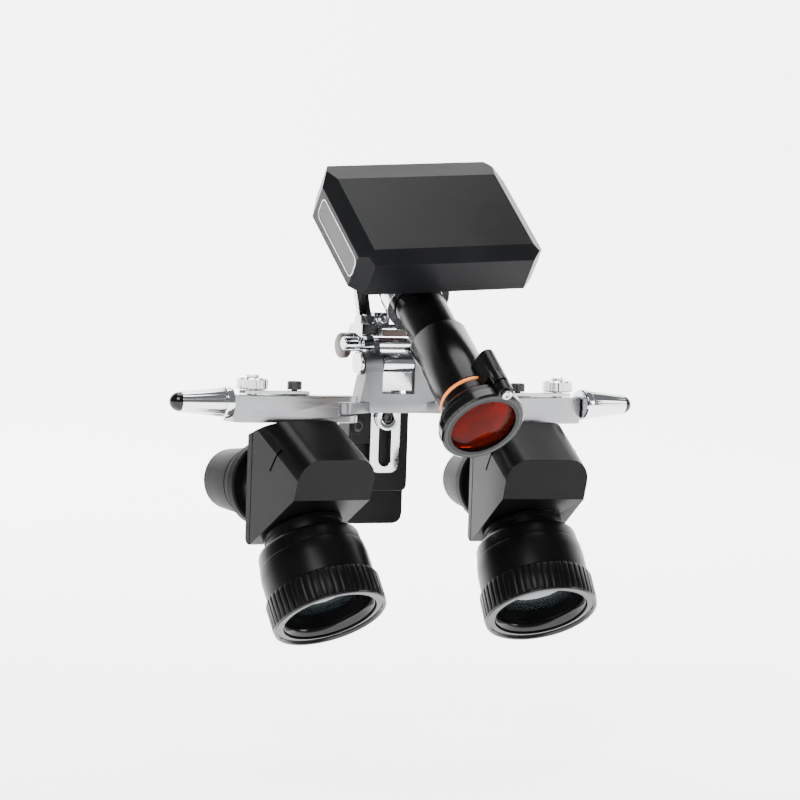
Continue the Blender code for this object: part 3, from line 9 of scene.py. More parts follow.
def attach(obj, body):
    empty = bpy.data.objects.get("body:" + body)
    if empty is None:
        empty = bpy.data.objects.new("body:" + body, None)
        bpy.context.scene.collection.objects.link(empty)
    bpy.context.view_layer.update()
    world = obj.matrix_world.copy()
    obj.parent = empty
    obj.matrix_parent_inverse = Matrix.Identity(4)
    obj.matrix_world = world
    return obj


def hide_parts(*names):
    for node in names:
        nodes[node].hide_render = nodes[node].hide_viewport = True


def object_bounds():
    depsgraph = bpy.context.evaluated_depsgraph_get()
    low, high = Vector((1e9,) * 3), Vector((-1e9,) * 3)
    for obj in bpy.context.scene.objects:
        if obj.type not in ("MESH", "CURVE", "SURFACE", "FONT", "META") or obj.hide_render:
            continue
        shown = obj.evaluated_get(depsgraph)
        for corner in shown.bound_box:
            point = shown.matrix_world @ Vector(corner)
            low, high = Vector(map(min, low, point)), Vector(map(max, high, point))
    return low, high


MM = 0.001
SIDES = ((1, "left"), (-1, "right"))

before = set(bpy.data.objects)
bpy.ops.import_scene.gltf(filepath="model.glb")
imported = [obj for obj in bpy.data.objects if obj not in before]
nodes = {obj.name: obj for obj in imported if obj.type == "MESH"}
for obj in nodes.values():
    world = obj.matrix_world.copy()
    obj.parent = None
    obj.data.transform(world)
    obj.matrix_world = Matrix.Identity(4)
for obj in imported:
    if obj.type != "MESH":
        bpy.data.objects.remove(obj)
cad_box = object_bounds()


# ---------------------------------------------------------------- places

BAR = Matrix.Translation((0, -0.019, 0.0135))
TOE_IN = math.radians(6.2)
DECLINATION = math.radians(57.0)
LIGHT_DOWN = math.radians(40.2)
LIGHT_ROLL = math.radians(4.4)
HANDLE_SPREAD = math.radians(5)
FILTER_HINGE_ANGLE = math.radians(-77)
FILTER_HINGE_RADIUS = 11.2

# Points in millimetres from the middle of the cross bar.
SHAFT = (0, 8.5, 15.7)
HINGE = (0, 7.5, 10.9)
TILT_KNOB = (0, 13.6, 15.0)
LIGHT_MOUTH = (0, -37.6, -2.1)
SLOT_WASHER = (0, 9.5, -2.6)
SLOT_SCREW = (0, 10.3, -2.6)
WING_SCREW = (-8.3, 9.82, -4.7)
CAMERA_TARGET = (-9.7, -13.73, 2.98)

# Distances from the middle to each side, in millimetres.
ARM_PIN_X = 17.8
SCOPE_X = 31.4
LOCK_KNOB_X = 42.9
HANDLE_X = 49.0
BRACKET_SCREW_X = 4.15

# Where a telescope's two optical axes cross, in its own frame.
OPTIC_Y = 1.0
OPTIC_Z = -19.0


def spot(x, y, z):
    """A point given in millimetres from the middle of the cross bar."""
    return BAR @ Matrix.Translation((x * MM, y * MM, z * MM))


def along(axis):
    """Turn that lays a piece's own z axis along X, Y or -Y."""
    turns = {"X": Matrix.Rotation(math.pi / 2, 4, "Y"),
             "Y": Matrix.Rotation(-math.pi / 2, 4, "X"),
             "-Y": Matrix.Rotation(math.pi / 2, 4, "X")}
    return turns[axis]


def scope_frame(side):
    return spot(side * SCOPE_X, 0, 0) @ Matrix.Rotation(-side * TOE_IN, 4, "Z")


def crossing_frame(side):
    return scope_frame(side) @ Matrix.Translation((0, OPTIC_Y * MM, OPTIC_Z * MM))


def objective_frame(side):
    """At the crossing of the axes, with z pointing out of the objective."""
    return crossing_frame(side) @ Matrix.Rotation(math.pi / 2 + DECLINATION, 4, "X")


def eyepiece_frame(side):
    """At the crossing of the axes, with z pointing at the eye."""
    return crossing_frame(side) @ along("Y")


def light_frame(roll=LIGHT_ROLL):
    """At the light's mouth, with z running back up the tube."""
    tilt = Matrix.Rotation(LIGHT_DOWN - math.pi / 2, 4, "X")
    return spot(*LIGHT_MOUTH) @ tilt @ Matrix.Rotation(-roll, 4, "Z")


# ---------------------------------------------------------------- finishes

# The part of the noise's range that is spread over a finish.
NOISE_LOW = 0.3
NOISE_HIGH = 0.7


def new_material(name):
    material = bpy.data.materials.new(name)
    material.use_nodes = True
    return material, material.node_tree, material.node_tree.nodes["Principled BSDF"]


def link(tree, source, target):
    tree.links.new(source, target)


def noise(tree, scale, detail=2.0, stretch=(1, 1, 1)):
    """Noise in object space, stretched along an axis if asked."""
    place = tree.nodes.new("ShaderNodeTexCoord")
    mapping = tree.nodes.new("ShaderNodeMapping")
    mapping.inputs["Scale"].default_value = stretch
    texture = tree.nodes.new("ShaderNodeTexNoise")
    texture.inputs["Scale"].default_value = scale
    texture.inputs["Detail"].default_value = detail
    link(tree, place.outputs["Object"], mapping.inputs["Vector"])
    link(tree, mapping.outputs["Vector"], texture.inputs["Vector"])
    return texture.outputs["Fac"]


def spread(tree, source, rough):
    """Map noise onto a range of roughness."""
    node = tree.nodes.new("ShaderNodeMapRange")
    node.inputs["From Min"].default_value = NOISE_LOW
    node.inputs["From Max"].default_value = NOISE_HIGH
    node.inputs["To Min"].default_value = rough[0]
    node.inputs["To Max"].default_value = rough[1]
    link(tree, source, node.inputs["Value"])
    return node.outputs["Result"]


def tint(tree, source, first, second):
    """Map noise onto the colours between two."""
    ramp = tree.nodes.new("ShaderNodeValToRGB")
    ramp.color_ramp.elements[0].position = NOISE_LOW
    ramp.color_ramp.elements[0].color = (*first, 1)
    ramp.color_ramp.elements[1].position = NOISE_HIGH
    ramp.color_ramp.elements[1].color = (*second, 1)
    link(tree, source, ramp.inputs["Fac"])
    return ramp.outputs["Color"]


def bump(tree, shader, source, depth, strength=0.5):
    node = tree.nodes.new("ShaderNodeBump")
    node.inputs["Distance"].default_value = depth
    node.inputs["Strength"].default_value = strength
    link(tree, source, node.inputs["Height"])
    link(tree, node.outputs["Normal"], shader.inputs["Normal"])


def coated(name, dark, light, rough, grain=2400, depth=0.00001, metallic=0.0, specular=0.5):
    """Anodised, painted or moulded surface with a fine grain and faint colour changes."""
    material, tree, shader = new_material(name)
    broad = noise(tree, 60)
    fine = noise(tree, grain, 3.0)
    link(tree, tint(tree, broad, dark, light), shader.inputs["Base Color"])
    link(tree, spread(tree, broad, rough), shader.inputs["Roughness"])
    shader.inputs["Metallic"].default_value = metallic
    shader.inputs["Specular IOR Level"].default_value = specular
    bump(tree, shader, fine, depth)
    return material


def bare_metal(name, dark, light, rough, stretch=(1, 1, 1), depth=0.000004):
    """Polished or brushed metal; stretch draws out the brush marks."""
    material, tree, shader = new_material(name)
    marks = noise(tree, 900, 2.0, stretch)
    broad = noise(tree, 90)
    link(tree, tint(tree, broad, dark, light), shader.inputs["Base Color"])
    link(tree, spread(tree, marks, rough), shader.inputs["Roughness"])
    shader.inputs["Metallic"].default_value = 1.0
    bump(tree, shader, marks, depth, 0.3)
    return material


def clear_glass(name, colour, roughness=0.02, coat=(0.35, 0.45, 0.75), gloss=1.0):
    """Optical glass with a tinted coating; gloss sets how strongly it mirrors."""
    material, tree, shader = new_material(name)
    faint = noise(tree, 200)
    link(tree, tint(tree, faint, colour, [c * 0.9 for c in colour]), shader.inputs["Base Color"])
    shader.inputs["Roughness"].default_value = roughness
    shader.inputs["IOR"].default_value = 1.52
    shader.inputs["Transmission Weight"].default_value = 0.85
    shader.inputs["Specular IOR Level"].default_value = 0.5 * gloss
    shader.inputs["Coat Weight"].default_value = gloss
    shader.inputs["Coat Tint"].default_value = (*coat, 1)
    return material


def amber_glass():
    """Deep amber glass: tinted see-through with a clear gloss on top."""
    material, tree, shader = new_material("filter_amber")
    faint = noise(tree, 160)
    see_through = tree.nodes.new("ShaderNodeBsdfTransparent")
    link(tree, tint(tree, faint, (0.60, 0.085, 0.008), (0.66, 0.105, 0.012)),
         see_through.inputs["Color"])
    shader.inputs["Base Color"].default_value = (0.10, 0.008, 0.001, 1)
    shader.inputs["Roughness"].default_value = 0.04
    shader.inputs["Specular IOR Level"].default_value = 0.25
    blend = tree.nodes.new("ShaderNodeMixShader")
    blend.inputs["Fac"].default_value = 0.82
    link(tree, shader.outputs["BSDF"], blend.inputs[1])
    link(tree, see_through.outputs["BSDF"], blend.inputs[2])
    link(tree, blend.outputs["Shader"], tree.nodes["Material Output"].inputs["Surface"])
    return material


# Reflector inside the light's mouth. Its warm orange colour is a painted reflection of amber light
# inside the mouth, not the reflector's own colour.
def reflector_with_painted_reflection():
    material, tree, shader = new_material("reflector_painted_amber_reflection")
    faint = noise(tree, 160)
    link(tree, tint(tree, faint, (0.85, 0.30, 0.10), (0.95, 0.40, 0.15)),
         shader.inputs["Base Color"])
    shader.inputs["Roughness"].default_value = 0.2
    shader.inputs["Metallic"].default_value = 0.7
    return material


ANODISED = coated("anodised_black", (0.0014, 0.0014, 0.0016), (0.0024, 0.0024, 0.0027),
                  rough=(0.27, 0.35), grain=4200, depth=0.000005, specular=0.08)
ANODISED_PLATE = coated("plate_black", (0.003, 0.003, 0.0033), (0.006, 0.006, 0.0065),
                        rough=(0.36, 0.50), grain=3000, specular=0.14)
GLOSS_BLACK = coated("ring_rim_black", (0.0015, 0.0015, 0.0018), (0.003, 0.003, 0.0034),
                     rough=(0.09, 0.15), grain=3000, depth=0.000002, specular=0.28)
# Near-black matt colour for the side lines: painted shade of a groove, not a colour of the housing.
GROOVE_PAINTED_SHADE = coated("groove_painted_shade", (0.0003, 0.0003, 0.0003), (0.0006, 0.0006, 0.0006),
                rough=(0.80, 0.90), grain=2600, depth=0.000002, specular=0.0)
RUBBER = coated("eyecup_rubber", (0.0020, 0.0019, 0.0019), (0.0035, 0.0032, 0.0032),
                rough=(0.45, 0.60), grain=2600, depth=0.00002, specular=0.07)
BOX_PLASTIC = coated("box_satin_black", (0.0036, 0.0038, 0.0043), (0.0050, 0.0053, 0.0060),
                     rough=(0.28, 0.36), grain=5200, depth=0.000006, specular=0.08)
TUBE_BLACK = coated("tube_satin_black", (0.0012, 0.0012, 0.0014), (0.0025, 0.0025, 0.0028),
                    rough=(0.20, 0.28), grain=4200, depth=0.000005, specular=0.16)
TOUCH = coated("touch_dark_grey", (0.018, 0.018, 0.020), (0.026, 0.026, 0.029),
               rough=(0.28, 0.38), grain=3600, depth=0.000008, specular=0.2)
CLAMP_GREY = coated("clamp_dark_grey", (0.012, 0.012, 0.013), (0.020, 0.020, 0.022),
                    rough=(0.3, 0.4), grain=3600, depth=0.000008, metallic=0.3, specular=0.3)
CHROME = bare_metal("chrome_polished", (0.62, 0.63, 0.65), (0.68, 0.69, 0.71), rough=(0.06, 0.12))
ALLOY = bare_metal("alloy_polished", (0.30, 0.305, 0.315), (0.33, 0.335, 0.345),
                   rough=(0.24, 0.30), stretch=(0.03, 1, 1), depth=0.000001)
SATIN_ALLOY = bare_metal("alloy_satin", (0.19, 0.195, 0.20), (0.22, 0.225, 0.23),
                         rough=(0.28, 0.38), stretch=(0.03, 1, 1), depth=0.000001)
STEEL = bare_metal("steel_fine", (0.48, 0.49, 0.50), (0.60, 0.61, 0.62), rough=(0.18, 0.30))
SCREW_BLACK = coated("screw_black", (0.012, 0.012, 0.012), (0.022, 0.022, 0.022),
                     rough=(0.22, 0.34), grain=2600, metallic=0.4)
BROWN = coated("pad_dark_brown", (0.030, 0.014, 0.009), (0.048, 0.022, 0.014), rough=(0.30, 0.45))
KNOB_BROWN = coated("knob_brown_black", (0.018, 0.009, 0.007), (0.030, 0.015, 0.011),
                    rough=(0.28, 0.40))
ORANGE = coated("accent_orange", (0.85, 0.22, 0.02), (0.95, 0.28, 0.03), rough=(0.3, 0.4))
BOARD = coated("lamp_board_white", (0.75, 0.74, 0.70), (0.82, 0.81, 0.78), rough=(0.4, 0.5),
               grain=2000)
CELL = coated("cell_wrap", (0.12, 0.14, 0.20), (0.16, 0.18, 0.25), rough=(0.3, 0.45), grain=2000)
# The near-black base colour of the lens glass is painted shade of the dark bore behind it. The
# green-blue coat tint is the coating's own colour.
LENS_PAINTED_SHADE = clear_glass("lens_coated_painted_shade", (0.05, 0.06, 0.065), coat=(0.55, 0.80, 0.78), gloss=0.35)
COLLIMATOR = clear_glass("collimator_clear", (0.80, 0.78, 0.72), roughness=0.03,
                         coat=(0.9, 0.85, 0.8))
PRISM = clear_glass("prism_clear", (0.75, 0.78, 0.80))
INDEX = coated("index_pale", (0.62, 0.62, 0.60), (0.72, 0.72, 0.70), rough=(0.4, 0.5),
               grain=2000, depth=0.000005)
AMBER = amber_glass()
REFLECTOR_PAINTED_REFLECTION = reflector_with_painted_reflection()


# ---------------------------------------------------------------- shapes

def new_object(name, data):
    item = bpy.data.objects.new(name, data)
    bpy.context.scene.collection.objects.link(item)
    return item


def add_piece(name, mesh_data, body, material, place=None, replaces=(), bevel=0.0,
              sharp=35.0):
    """Link a finished mesh as a piece that rides on a body."""
    bmesh.ops.recalc_face_normals(mesh_data, faces=mesh_data.faces)
    mesh = bpy.data.meshes.new(name)
    mesh_data.to_mesh(mesh)
    mesh_data.free()
    piece = new_object(name, mesh)
    piece.matrix_world = place or Matrix.Identity(4)
    mesh.materials.append(material)
    mesh.shade_smooth()
    mesh.set_sharp_from_angle(angle=math.radians(sharp))
    if bevel > 0.0:
        edge = piece.modifiers.new("edge", "BEVEL")
        edge.width = bevel * MM
        edge.segments = 3
        edge.limit_method = "ANGLE"
        edge.angle_limit = math.radians(sharp)
        edge.harden_normals = True
    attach(piece, body)
    if replaces:
        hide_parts(*replaces)
    return piece


def softened(node, body, material, bevel):
    """The CAD solid again, with its edges rounded."""
    mesh_data = bmesh.new()
    mesh_data.from_mesh(nodes[node].data)
    bmesh.ops.remove_doubles(mesh_data, verts=mesh_data.verts, dist=2e-6)
    bmesh.ops.dissolve_limit(mesh_data, angle_limit=math.radians(0.5), verts=mesh_data.verts,
                             edges=mesh_data.edges)
    return add_piece(node + "_look", mesh_data, body, material, None, (node,), bevel)


def around(mesh_data, radius, angle, height):
    """A vertex at a radius and angle about z, in millimetres."""
    return mesh_data.verts.new((radius * math.cos(angle) * MM, radius * math.sin(angle) * MM,
                                height * MM))


def skin(mesh_data, rows):
    """Faces between neighbouring rows; corners that share a vertex count once."""
    for lower, upper in zip(rows, rows[1:]):
        for index in range(len(lower)):
            after = (index + 1) % len(lower)
            corners = (lower[index], lower[after], upper[after], upper[index])
            mesh_data.faces.new(list(dict.fromkeys(corners)))


def lathe(profile, sides=96):
    """Turn (radius, height) points in millimetres about z."""
    mesh_data = bmesh.new()
    rings = []
    for radius, height in profile:
        if radius == 0:
            rings.append([around(mesh_data, 0, 0, height)] * sides)
        else:
            rings.append([around(mesh_data, radius, 2 * math.pi * index / sides, height)
                          for index in range(sides)])
    if profile[0][0] > 0:
        rings.append(rings[0])
    skin(mesh_data, rings)
    return mesh_data


def ribbed(inner, radius, depth, low, high, ribs):
    """Closed ring with shallow flutes cut along its outside."""
    mesh_data = bmesh.new()
    pattern = (0.0, 0.0, 0.0, 0.0, 0.0, 1.0, 1.0)
    lead_in = 0.5
    count = ribs * len(pattern)
    levels = ((inner, low, 0), (radius - depth, low, 0), (radius, low + lead_in, depth),
              (radius, high - lead_in, depth), (radius - depth, high, 0), (inner, high, 0))
    rows = []
    for reach, height, cut in levels:
        rows.append([around(mesh_data, reach - cut * pattern[index % len(pattern)],
                            2 * math.pi * index / count, height) for index in range(count)])
    skin(mesh_data, rows + rows[:1])
    return mesh_data


def hexagon(mesh_data, across, height, sides):
    """A six-sided outline with as many vertices as the rings it joins."""
    sector = math.pi / 6
    row = []
    for index in range(sides):
        angle = 2 * math.pi * index / sides
        reach = across / math.cos((angle % (2 * sector)) - sector)
        row.append(around(mesh_data, reach, angle, height))
    return row


def socket_head(radius, low, high, across, shank, foot, sides=48):
    """Cap screw along z with a hexagon socket; the shank runs down to foot."""
    mesh_data = bmesh.new()
    chamfer = 0.25
    floor = high - 0.6 * (high - low)
    turned = ((shank, foot), (shank, low), (radius, low), (radius, high - chamfer),
              (radius - chamfer, high), (across * 1.12, high))
    rows = [[around(mesh_data, reach, 2 * math.pi * index / sides, height)
             for index in range(sides)] for reach, height in turned]
    rows += [hexagon(mesh_data, across, height, sides) for height in (high - 0.08, floor)]
    skin(mesh_data, rows)
    mesh_data.faces.new(rows[0])
    mesh_data.faces.new(rows[-1])
    return mesh_data


def scallop(mesh_data, beyond, depth, wave):
    """Pull in what lies beyond a radius, by a depth that follows a wave around the axis."""
    for vert in mesh_data.verts:
        radius = math.hypot(vert.co.x, vert.co.y)
        if radius > beyond * MM:
            share = 1.0 - depth * MM * wave(math.atan2(vert.co.y, vert.co.x)) / radius
            vert.co.x *= share
            vert.co.y *= share


def strip(points, width, thickness):
    """Thin raised line through points on a flat face (x, y), in millimetres."""
    mesh_data = bmesh.new()
    for start, end in zip(points, points[1:]):
        first = Vector(start)
        second = Vector(end)
        ahead = (second - first).normalized()
        across = Vector((-ahead.y, ahead.x)) * width / 2
        corners = (first + across, first - across, second - across, second + across)
        low = [mesh_data.verts.new((c.x * MM, c.y * MM, 0)) for c in corners]
        high = [mesh_data.verts.new((c.x * MM, c.y * MM, thickness * MM)) for c in corners]
        mesh_data.faces.new(low)
        mesh_data.faces.new(high)
        skin(mesh_data, [low, high])
    return mesh_data


# ---------------------------------------------------------------- mount, slide and hinge

def build_mount():
    softened("mounting_plate", "mount", ANODISED_PLATE, 0.35)
    softened("guide_block", "mount", ANODISED_PLATE, 0.30)
    washer = [(1.68, 0.05), (1.9, 0), (3.0, 0), (3.2, 0.15), (3.2, 0.8), (1.68, 0.8)]
    add_piece("slot_washer_look", lathe(washer), "mount", CHROME,
              spot(*SLOT_WASHER) @ along("Y"), ("slot_washer",), 0.08)
    add_piece("slot_screw_look", socket_head(1.35, 0, 0.9, 0.75, 1.1, -4.7), "mount", SCREW_BLACK,
              spot(*SLOT_SCREW) @ along("-Y"), ("slot_screw",))
    add_piece("wing_screw_look", socket_head(1.45, 0, 0.5, 0.75, 0.5, -0.1), "mount", SCREW_BLACK,
              spot(*WING_SCREW) @ along("-Y"))


def build_lift():
    softened("slotted_slide", "lift", CHROME, 0.18)
    softened("hinge_block", "lift", CHROME, 0.12)
    nodes["detent_ball"].material_slots[0].material = STEEL
    nodes["detent_spring"].material_slots[0].material = STEEL


def build_flip_unit():
    softened("flip_block", "flip_unit", SATIN_ALLOY, 0.22)
    pin = [(0, -10.4), (2.6, -10.4), (2.9, -10.15), (2.9, -9.7), (1.3, -9.7), (1.3, 9.7),
           (2.9, 9.7), (2.9, 10.15), (2.6, 10.4), (0, 10.4)]
    add_piece("hinge_pin_look", lathe(pin), "flip_unit", CHROME,
              spot(*HINGE) @ along("X"), ("hinge_pin",), 0.1)
    radius = 1.6
    groove = 1.35
    shaft = [(0, -13.9), (groove, -13.9), (radius, -13.65)]
    for start in (-10.2, 9.8):
        shaft += [(radius, start), (groove, start + 0.08), (groove, start + 0.32),
                  (radius, start + 0.4)]
    shaft += [(radius, 13.65), (groove, 13.9), (0, 13.9)]
    add_piece("cross_shaft_look", lathe(shaft), "flip_unit", CHROME,
              spot(*SHAFT) @ along("X"), ("cross_shaft",), 0.05)


# ---------------------------------------------------------------- arms

def build_arm(side, word):
    body = "arm_unit_" + word
    softened("arm_" + word, body, ALLOY, 0.35)
    pin = [(0, -3.3), (0.75, -3.3), (0.9, -3.15), (0.9, 3.15), (0.75, 3.3), (0, 3.3)]
    add_piece("arm_pin_look_" + word, lathe(pin, 48), body, STEEL,
              spot(side * ARM_PIN_X, 0, 0), ("arm_pin_" + word,))
    build_handle(side, word)
    build_lock_knob(side, word)
    softened("pd_slider_" + word, "slider_" + word, STEEL, 0.12)


def build_handle(side, word):
    """Bright collar, fluted cone and dark tip."""
    place = spot(side * HANDLE_X, -1.0, 1.5) @ Matrix.Rotation(side * HANDLE_SPREAD, 4, "Z")
    place = place @ Matrix.Rotation(math.pi / 2 * side, 4, "Y")
    collar = [(0, 0), (3.4, 0), (3.8, 0.3), (3.85, 0.7), (3.85, 2.0), (3.55, 2.25), (0, 2.25)]
    cone = [(0, 2.3), (3.45, 2.3), (3.5, 2.5), (2.52, 13.0), (2.4, 13.1), (0, 13.1)]
    tip = [(0, 13.15), (2.35, 13.15), (2.3, 13.8)]
    tip += [(2.25 * math.cos(math.radians(a)), 13.5 + 2.2 * math.sin(math.radians(a)))
            for a in (25, 40, 55, 70, 82)]
    tip += [(0, 15.7)]
    body = "arm_unit_" + word
    add_piece("handle_collar_" + word, lathe(collar), body, CHROME, place,
              ("handle_" + word,), 0.06)
    flutes = 14
    cone_mesh = lathe(cone, flutes * 8)
    scallop(cone_mesh, 1.5, 0.10, lambda angle: max(0.0, math.cos(angle * flutes)))
    add_piece("handle_cone_" + word, cone_mesh, body, CHROME, place)
    add_piece("handle_tip_" + word, lathe(tip), body, GLOSS_BLACK, place)


def build_lock_knob(side, word):
    """Scalloped knob on a plain stem that passes down through the arm."""
    knob = [(0, -1.5), (1.2, -1.5), (1.2, 4.6), (3.35, 4.6), (3.8, 4.9), (3.8, 7.0), (3.35, 7.4),
            (1.9, 7.4), (1.65, 7.55), (1.65, 8.05), (1.45, 8.2), (0, 8.2)]
    knob_mesh = lathe(knob, 72)
    scallop(knob_mesh, 3.2, 0.22, lambda angle: 1.0 - abs(math.sin(angle * 9)))
    add_piece("lock_knob_look_" + word, knob_mesh, "knob_" + word, CHROME,
              spot(side * LOCK_KNOB_X, 0, 0), ("lock_knob_" + word,))


# ---------------------------------------------------------------- telescopes

BARREL_RADIUS = 13.4
BARREL_END = 28.4
FRONT_LENS_RADIUS = 10.4
GRIP_BORE = 11.65
EYE_LENS_RADIUS = 5.6
EYECUP_RADIUS = 10.5


def build_telescope(side, word):
    body = "scope_" + word
    softened("prism_housing_" + word, body, ANODISED, 0.55)
    softened("housing_cover_" + word, body, ANODISED, 0.45)
    nodes["prism_" + word].material_slots[0].material = PRISM
    build_side_grooves(side, word)
    add_piece("pivot_screw_look_" + word, socket_head(1.8, 4.6, 6.7, 0.85, 0.75, -8.5), body,
              SCREW_BLACK, scope_frame(side), ("pivot_screw_" + word,))
    build_objective(side, word)
    build_eyepiece(side, word)


def build_side_grooves(side, word):
    """A short curved line on each flat side of the housing: a raised near-black strip whose colour
    is painted shade standing in for a groove.
    """
    upright = Matrix(((0, 0, 1, 0), (1, 0, 0, 0), (0, 1, 0, 0), (0, 0, 0, 1)))
    curve = [(-11.9, -9.3), (-10.6, -9.9), (-9.4, -11.1), (-8.2, -12.8), (-7.0, -14.6)]
    for x in (-11.05, 10.99):
        add_piece("side_groove_{}_{}".format(word, "outer" if x * side > 0 else "inner"),
                  strip(curve, 0.45, 0.06), "scope_" + word, GROOVE_PAINTED_SHADE,
                  scope_frame(side) @ Matrix.Translation((x * MM, 0, 0)) @ upright)


def crowned(foot, radius, edge, crown, shares):
    """Profile of a lens: a flat or raised foot, an upright edge and a domed top."""
    dome = [(radius * share, edge + crown * (1 - share * share)) for share in shares]
    return foot + [(radius, edge)] + dome + [(0, edge + crown)]


def build_objective(side, word):
    place = objective_frame(side)
    barrel = [(4.2, 10.2), (5.9, 10.2), (5.9, 12.2), (9.8, 12.2), (10.0, 12.4), (10.0, 13.4),
              (9.7, 13.5), (9.7, 14.7), (10.0, 14.8), (10.0, 15.2), (9.8, 15.3), (9.8, 15.9),
              (11.7, 15.9), (12.3, 16.3), (12.6, 17.0), (12.9, 19.9), (13.05, 20.0), (13.1, 20.2),
              (BARREL_RADIUS, 22.9), (BARREL_RADIUS, BARREL_END - 0.15),
              (BARREL_RADIUS - 0.2, BARREL_END), (11.4, BARREL_END), (11.4, 32.6), (10.7, 32.6),
              (10.7, 27.9), (6.8, 27.9), (4.2, 15.2)]
    add_piece("objective_barrel_look_" + word, lathe(barrel, 128), "scope_" + word, ANODISED,
              place, ("objective_barrel_" + word,), 0.06)
    lens = crowned([(0, 28.2), (FRONT_LENS_RADIUS, 28.2)], FRONT_LENS_RADIUS, 30.0, 1.3,
                   (0.9, 0.75, 0.55, 0.3))
    add_piece("objective_lens_look_" + word, lathe(lens, 96), "scope_" + word, LENS_PAINTED_SHADE,
              place, ("objective_lens_" + word,))
    grip = ribbed(GRIP_BORE, radius=14.15, depth=0.22, low=28.65, high=35.6, ribs=50)
    add_piece("focus_grip_" + word, grip, "focus_" + word, ANODISED, place,
              ("focus_ring_" + word,), 0.0, 50)
    rim = [(GRIP_BORE, 35.65), (13.95, 35.65), (14.05, 35.75), (14.0, 36.0), (13.8, 36.2),
           (13.3, 36.2), (13.15, 36.05), (12.95, 35.1), (12.8, 34.9), (11.6, 34.7), (11.5, 35.0),
           (11.3, 35.1), (11.05, 34.9), (10.5, 33.7), (FRONT_LENS_RADIUS, 33.4),
           (FRONT_LENS_RADIUS, 32.85), (GRIP_BORE, 32.85)]
    add_piece("focus_rim_" + word, lathe(rim, 128), "focus_" + word, GLOSS_BLACK,
              place, (), 0.05)


def build_eyepiece(side, word):
    place = eyepiece_frame(side)
    tube = [(5.0, 2.3), (8.5, 2.3), (8.5, 3.2), (8.25, 3.3), (8.25, 3.6), (8.5, 3.7), (8.5, 8.7),
            (6.4, 8.7), (6.4, 17.0), (5.0, 17.0)]
    add_piece("eyepiece_tube_look_" + word, lathe(tube), "scope_" + word, ANODISED,
              place, ("eyepiece_tube_" + word,), 0.06)
    cup = [(6.65, 9.0), (10.1, 9.0), (EYECUP_RADIUS, 9.4), (EYECUP_RADIUS, 11.7), (10.2, 12.0),
           (9.3, 12.15), (9.0, 12.5), (8.9, 13.2), (8.6, 15.6), (8.35, 15.75), (8.3, 16.05),
           (8.5, 16.2), (7.55, 26.2), (7.4, 26.9), (7.0, 27.2), (6.6, 27.2), (6.3, 26.9),
           (5.9, 20.9), (5.9, 17.3), (6.65, 17.3)]
    add_piece("eyecup_look_" + word, lathe(cup), "eyepiece_" + word, RUBBER,
              place, ("eyecup_" + word,), 0.06)
    lens = crowned([(0, 17.5), (EYE_LENS_RADIUS, 17.8)], EYE_LENS_RADIUS, 19.8, 1.0,
                   (0.85, 0.65, 0.4, 0.2))
    add_piece("eyepiece_lens_look_" + word, lathe(lens, 72), "eyepiece_" + word, LENS_PAINTED_SHADE,
              place, ("eyepiece_lens_" + word,))
    dot = [(0, -0.02), (0.35, -0.02), (0.35, 0.06), (0, 0.06)]
    for degrees in (62, 90, 118):
        turn = Matrix.Rotation(math.radians(degrees), 4, "Z")
        seat = turn @ Matrix.Translation((9.6 * MM, 0, 8.98 * MM)) @ Matrix.Rotation(math.pi, 4, "X")
        add_piece("index_dot_{}_{}".format(word, degrees), lathe(dot, 24), "eyepiece_" + word,
                  INDEX, place @ seat)


# ---------------------------------------------------------------- headlight

# The clamp's bright posts lie beyond these, in the unrolled light's frame.
POST_Y = 9.3
POST_X = 4.7
# Middle of a touch panel: the box's own middle, then out to its side.
BOX_ASIDE = 2.1
PANEL_REACH = 24.86
PANEL_Y = -14.3
PANEL_Z = 53.0
PANEL_HALF_WIDTH = 3.05
PANEL_HALF_LENGTH = 11.75
PANEL_RIM = 0.25
UPPER_TUBE_RADIUS = 6.1
SLEEVE_RADIUS = 7.28


def build_bracket():
    softened("light_bracket", "light_carrier", CHROME, 0.15)
    softened("friction_pad", "light_carrier", BROWN, 0.15)
    clamp = softened("tube_clamp", "light_carrier", CLAMP_GREY, 0.2)
    clamp.data.materials.append(CHROME)
    to_light = light_frame(0.0).inverted() @ clamp.matrix_world
    for face in clamp.data.polygons:
        middle = to_light @ face.center
        if middle.y > POST_Y * MM or abs(middle.x) > POST_X * MM:
            face.material_index = 1
    for side, word in SIDES:
        place = spot(side * BRACKET_SCREW_X, 6.8, 22.05) @ along("-Y")
        add_piece("bracket_screw_look_" + word, socket_head(1.2, 0.3, 1.2, 0.55, 0.6, -1.8),
                  "light_carrier", STEEL, place, ("bracket_screw_" + word,))
    knob = [(0, -12.05), (2.7, -12.05), (3.05, -11.85), (3.2, -11.5), (3.2, -10.4), (2.9, -10.05),
            (0.8, -10.05), (0.8, -6.8), (0, -6.8)]
    add_piece("tilt_knob_look", lathe(knob), "tilt_clamp", KNOB_BROWN,
              spot(*TILT_KNOB) @ along("X"), ("tilt_knob",), 0.08)


def build_battery_box():
    softened("battery_case", "light", BOX_PLASTIC, 0.9)
    softened("battery_cover", "light", BOX_PLASTIC, 0.2)
    nodes["battery_cell"].material_slots[0].material = CELL
    for side, word in SIDES:
        softened("touch_panel_" + word, "light", TOUCH, 0.15)
        end = BOX_ASIDE + side * PANEL_REACH
        place = light_frame() @ Matrix.Translation((end * MM, PANEL_Y * MM, PANEL_Z * MM))
        if side < 0:
            place = place @ Matrix.Rotation(math.pi, 4, "Z")
        add_piece("touch_rim_" + word, panel_rim(), "light", STEEL, place)


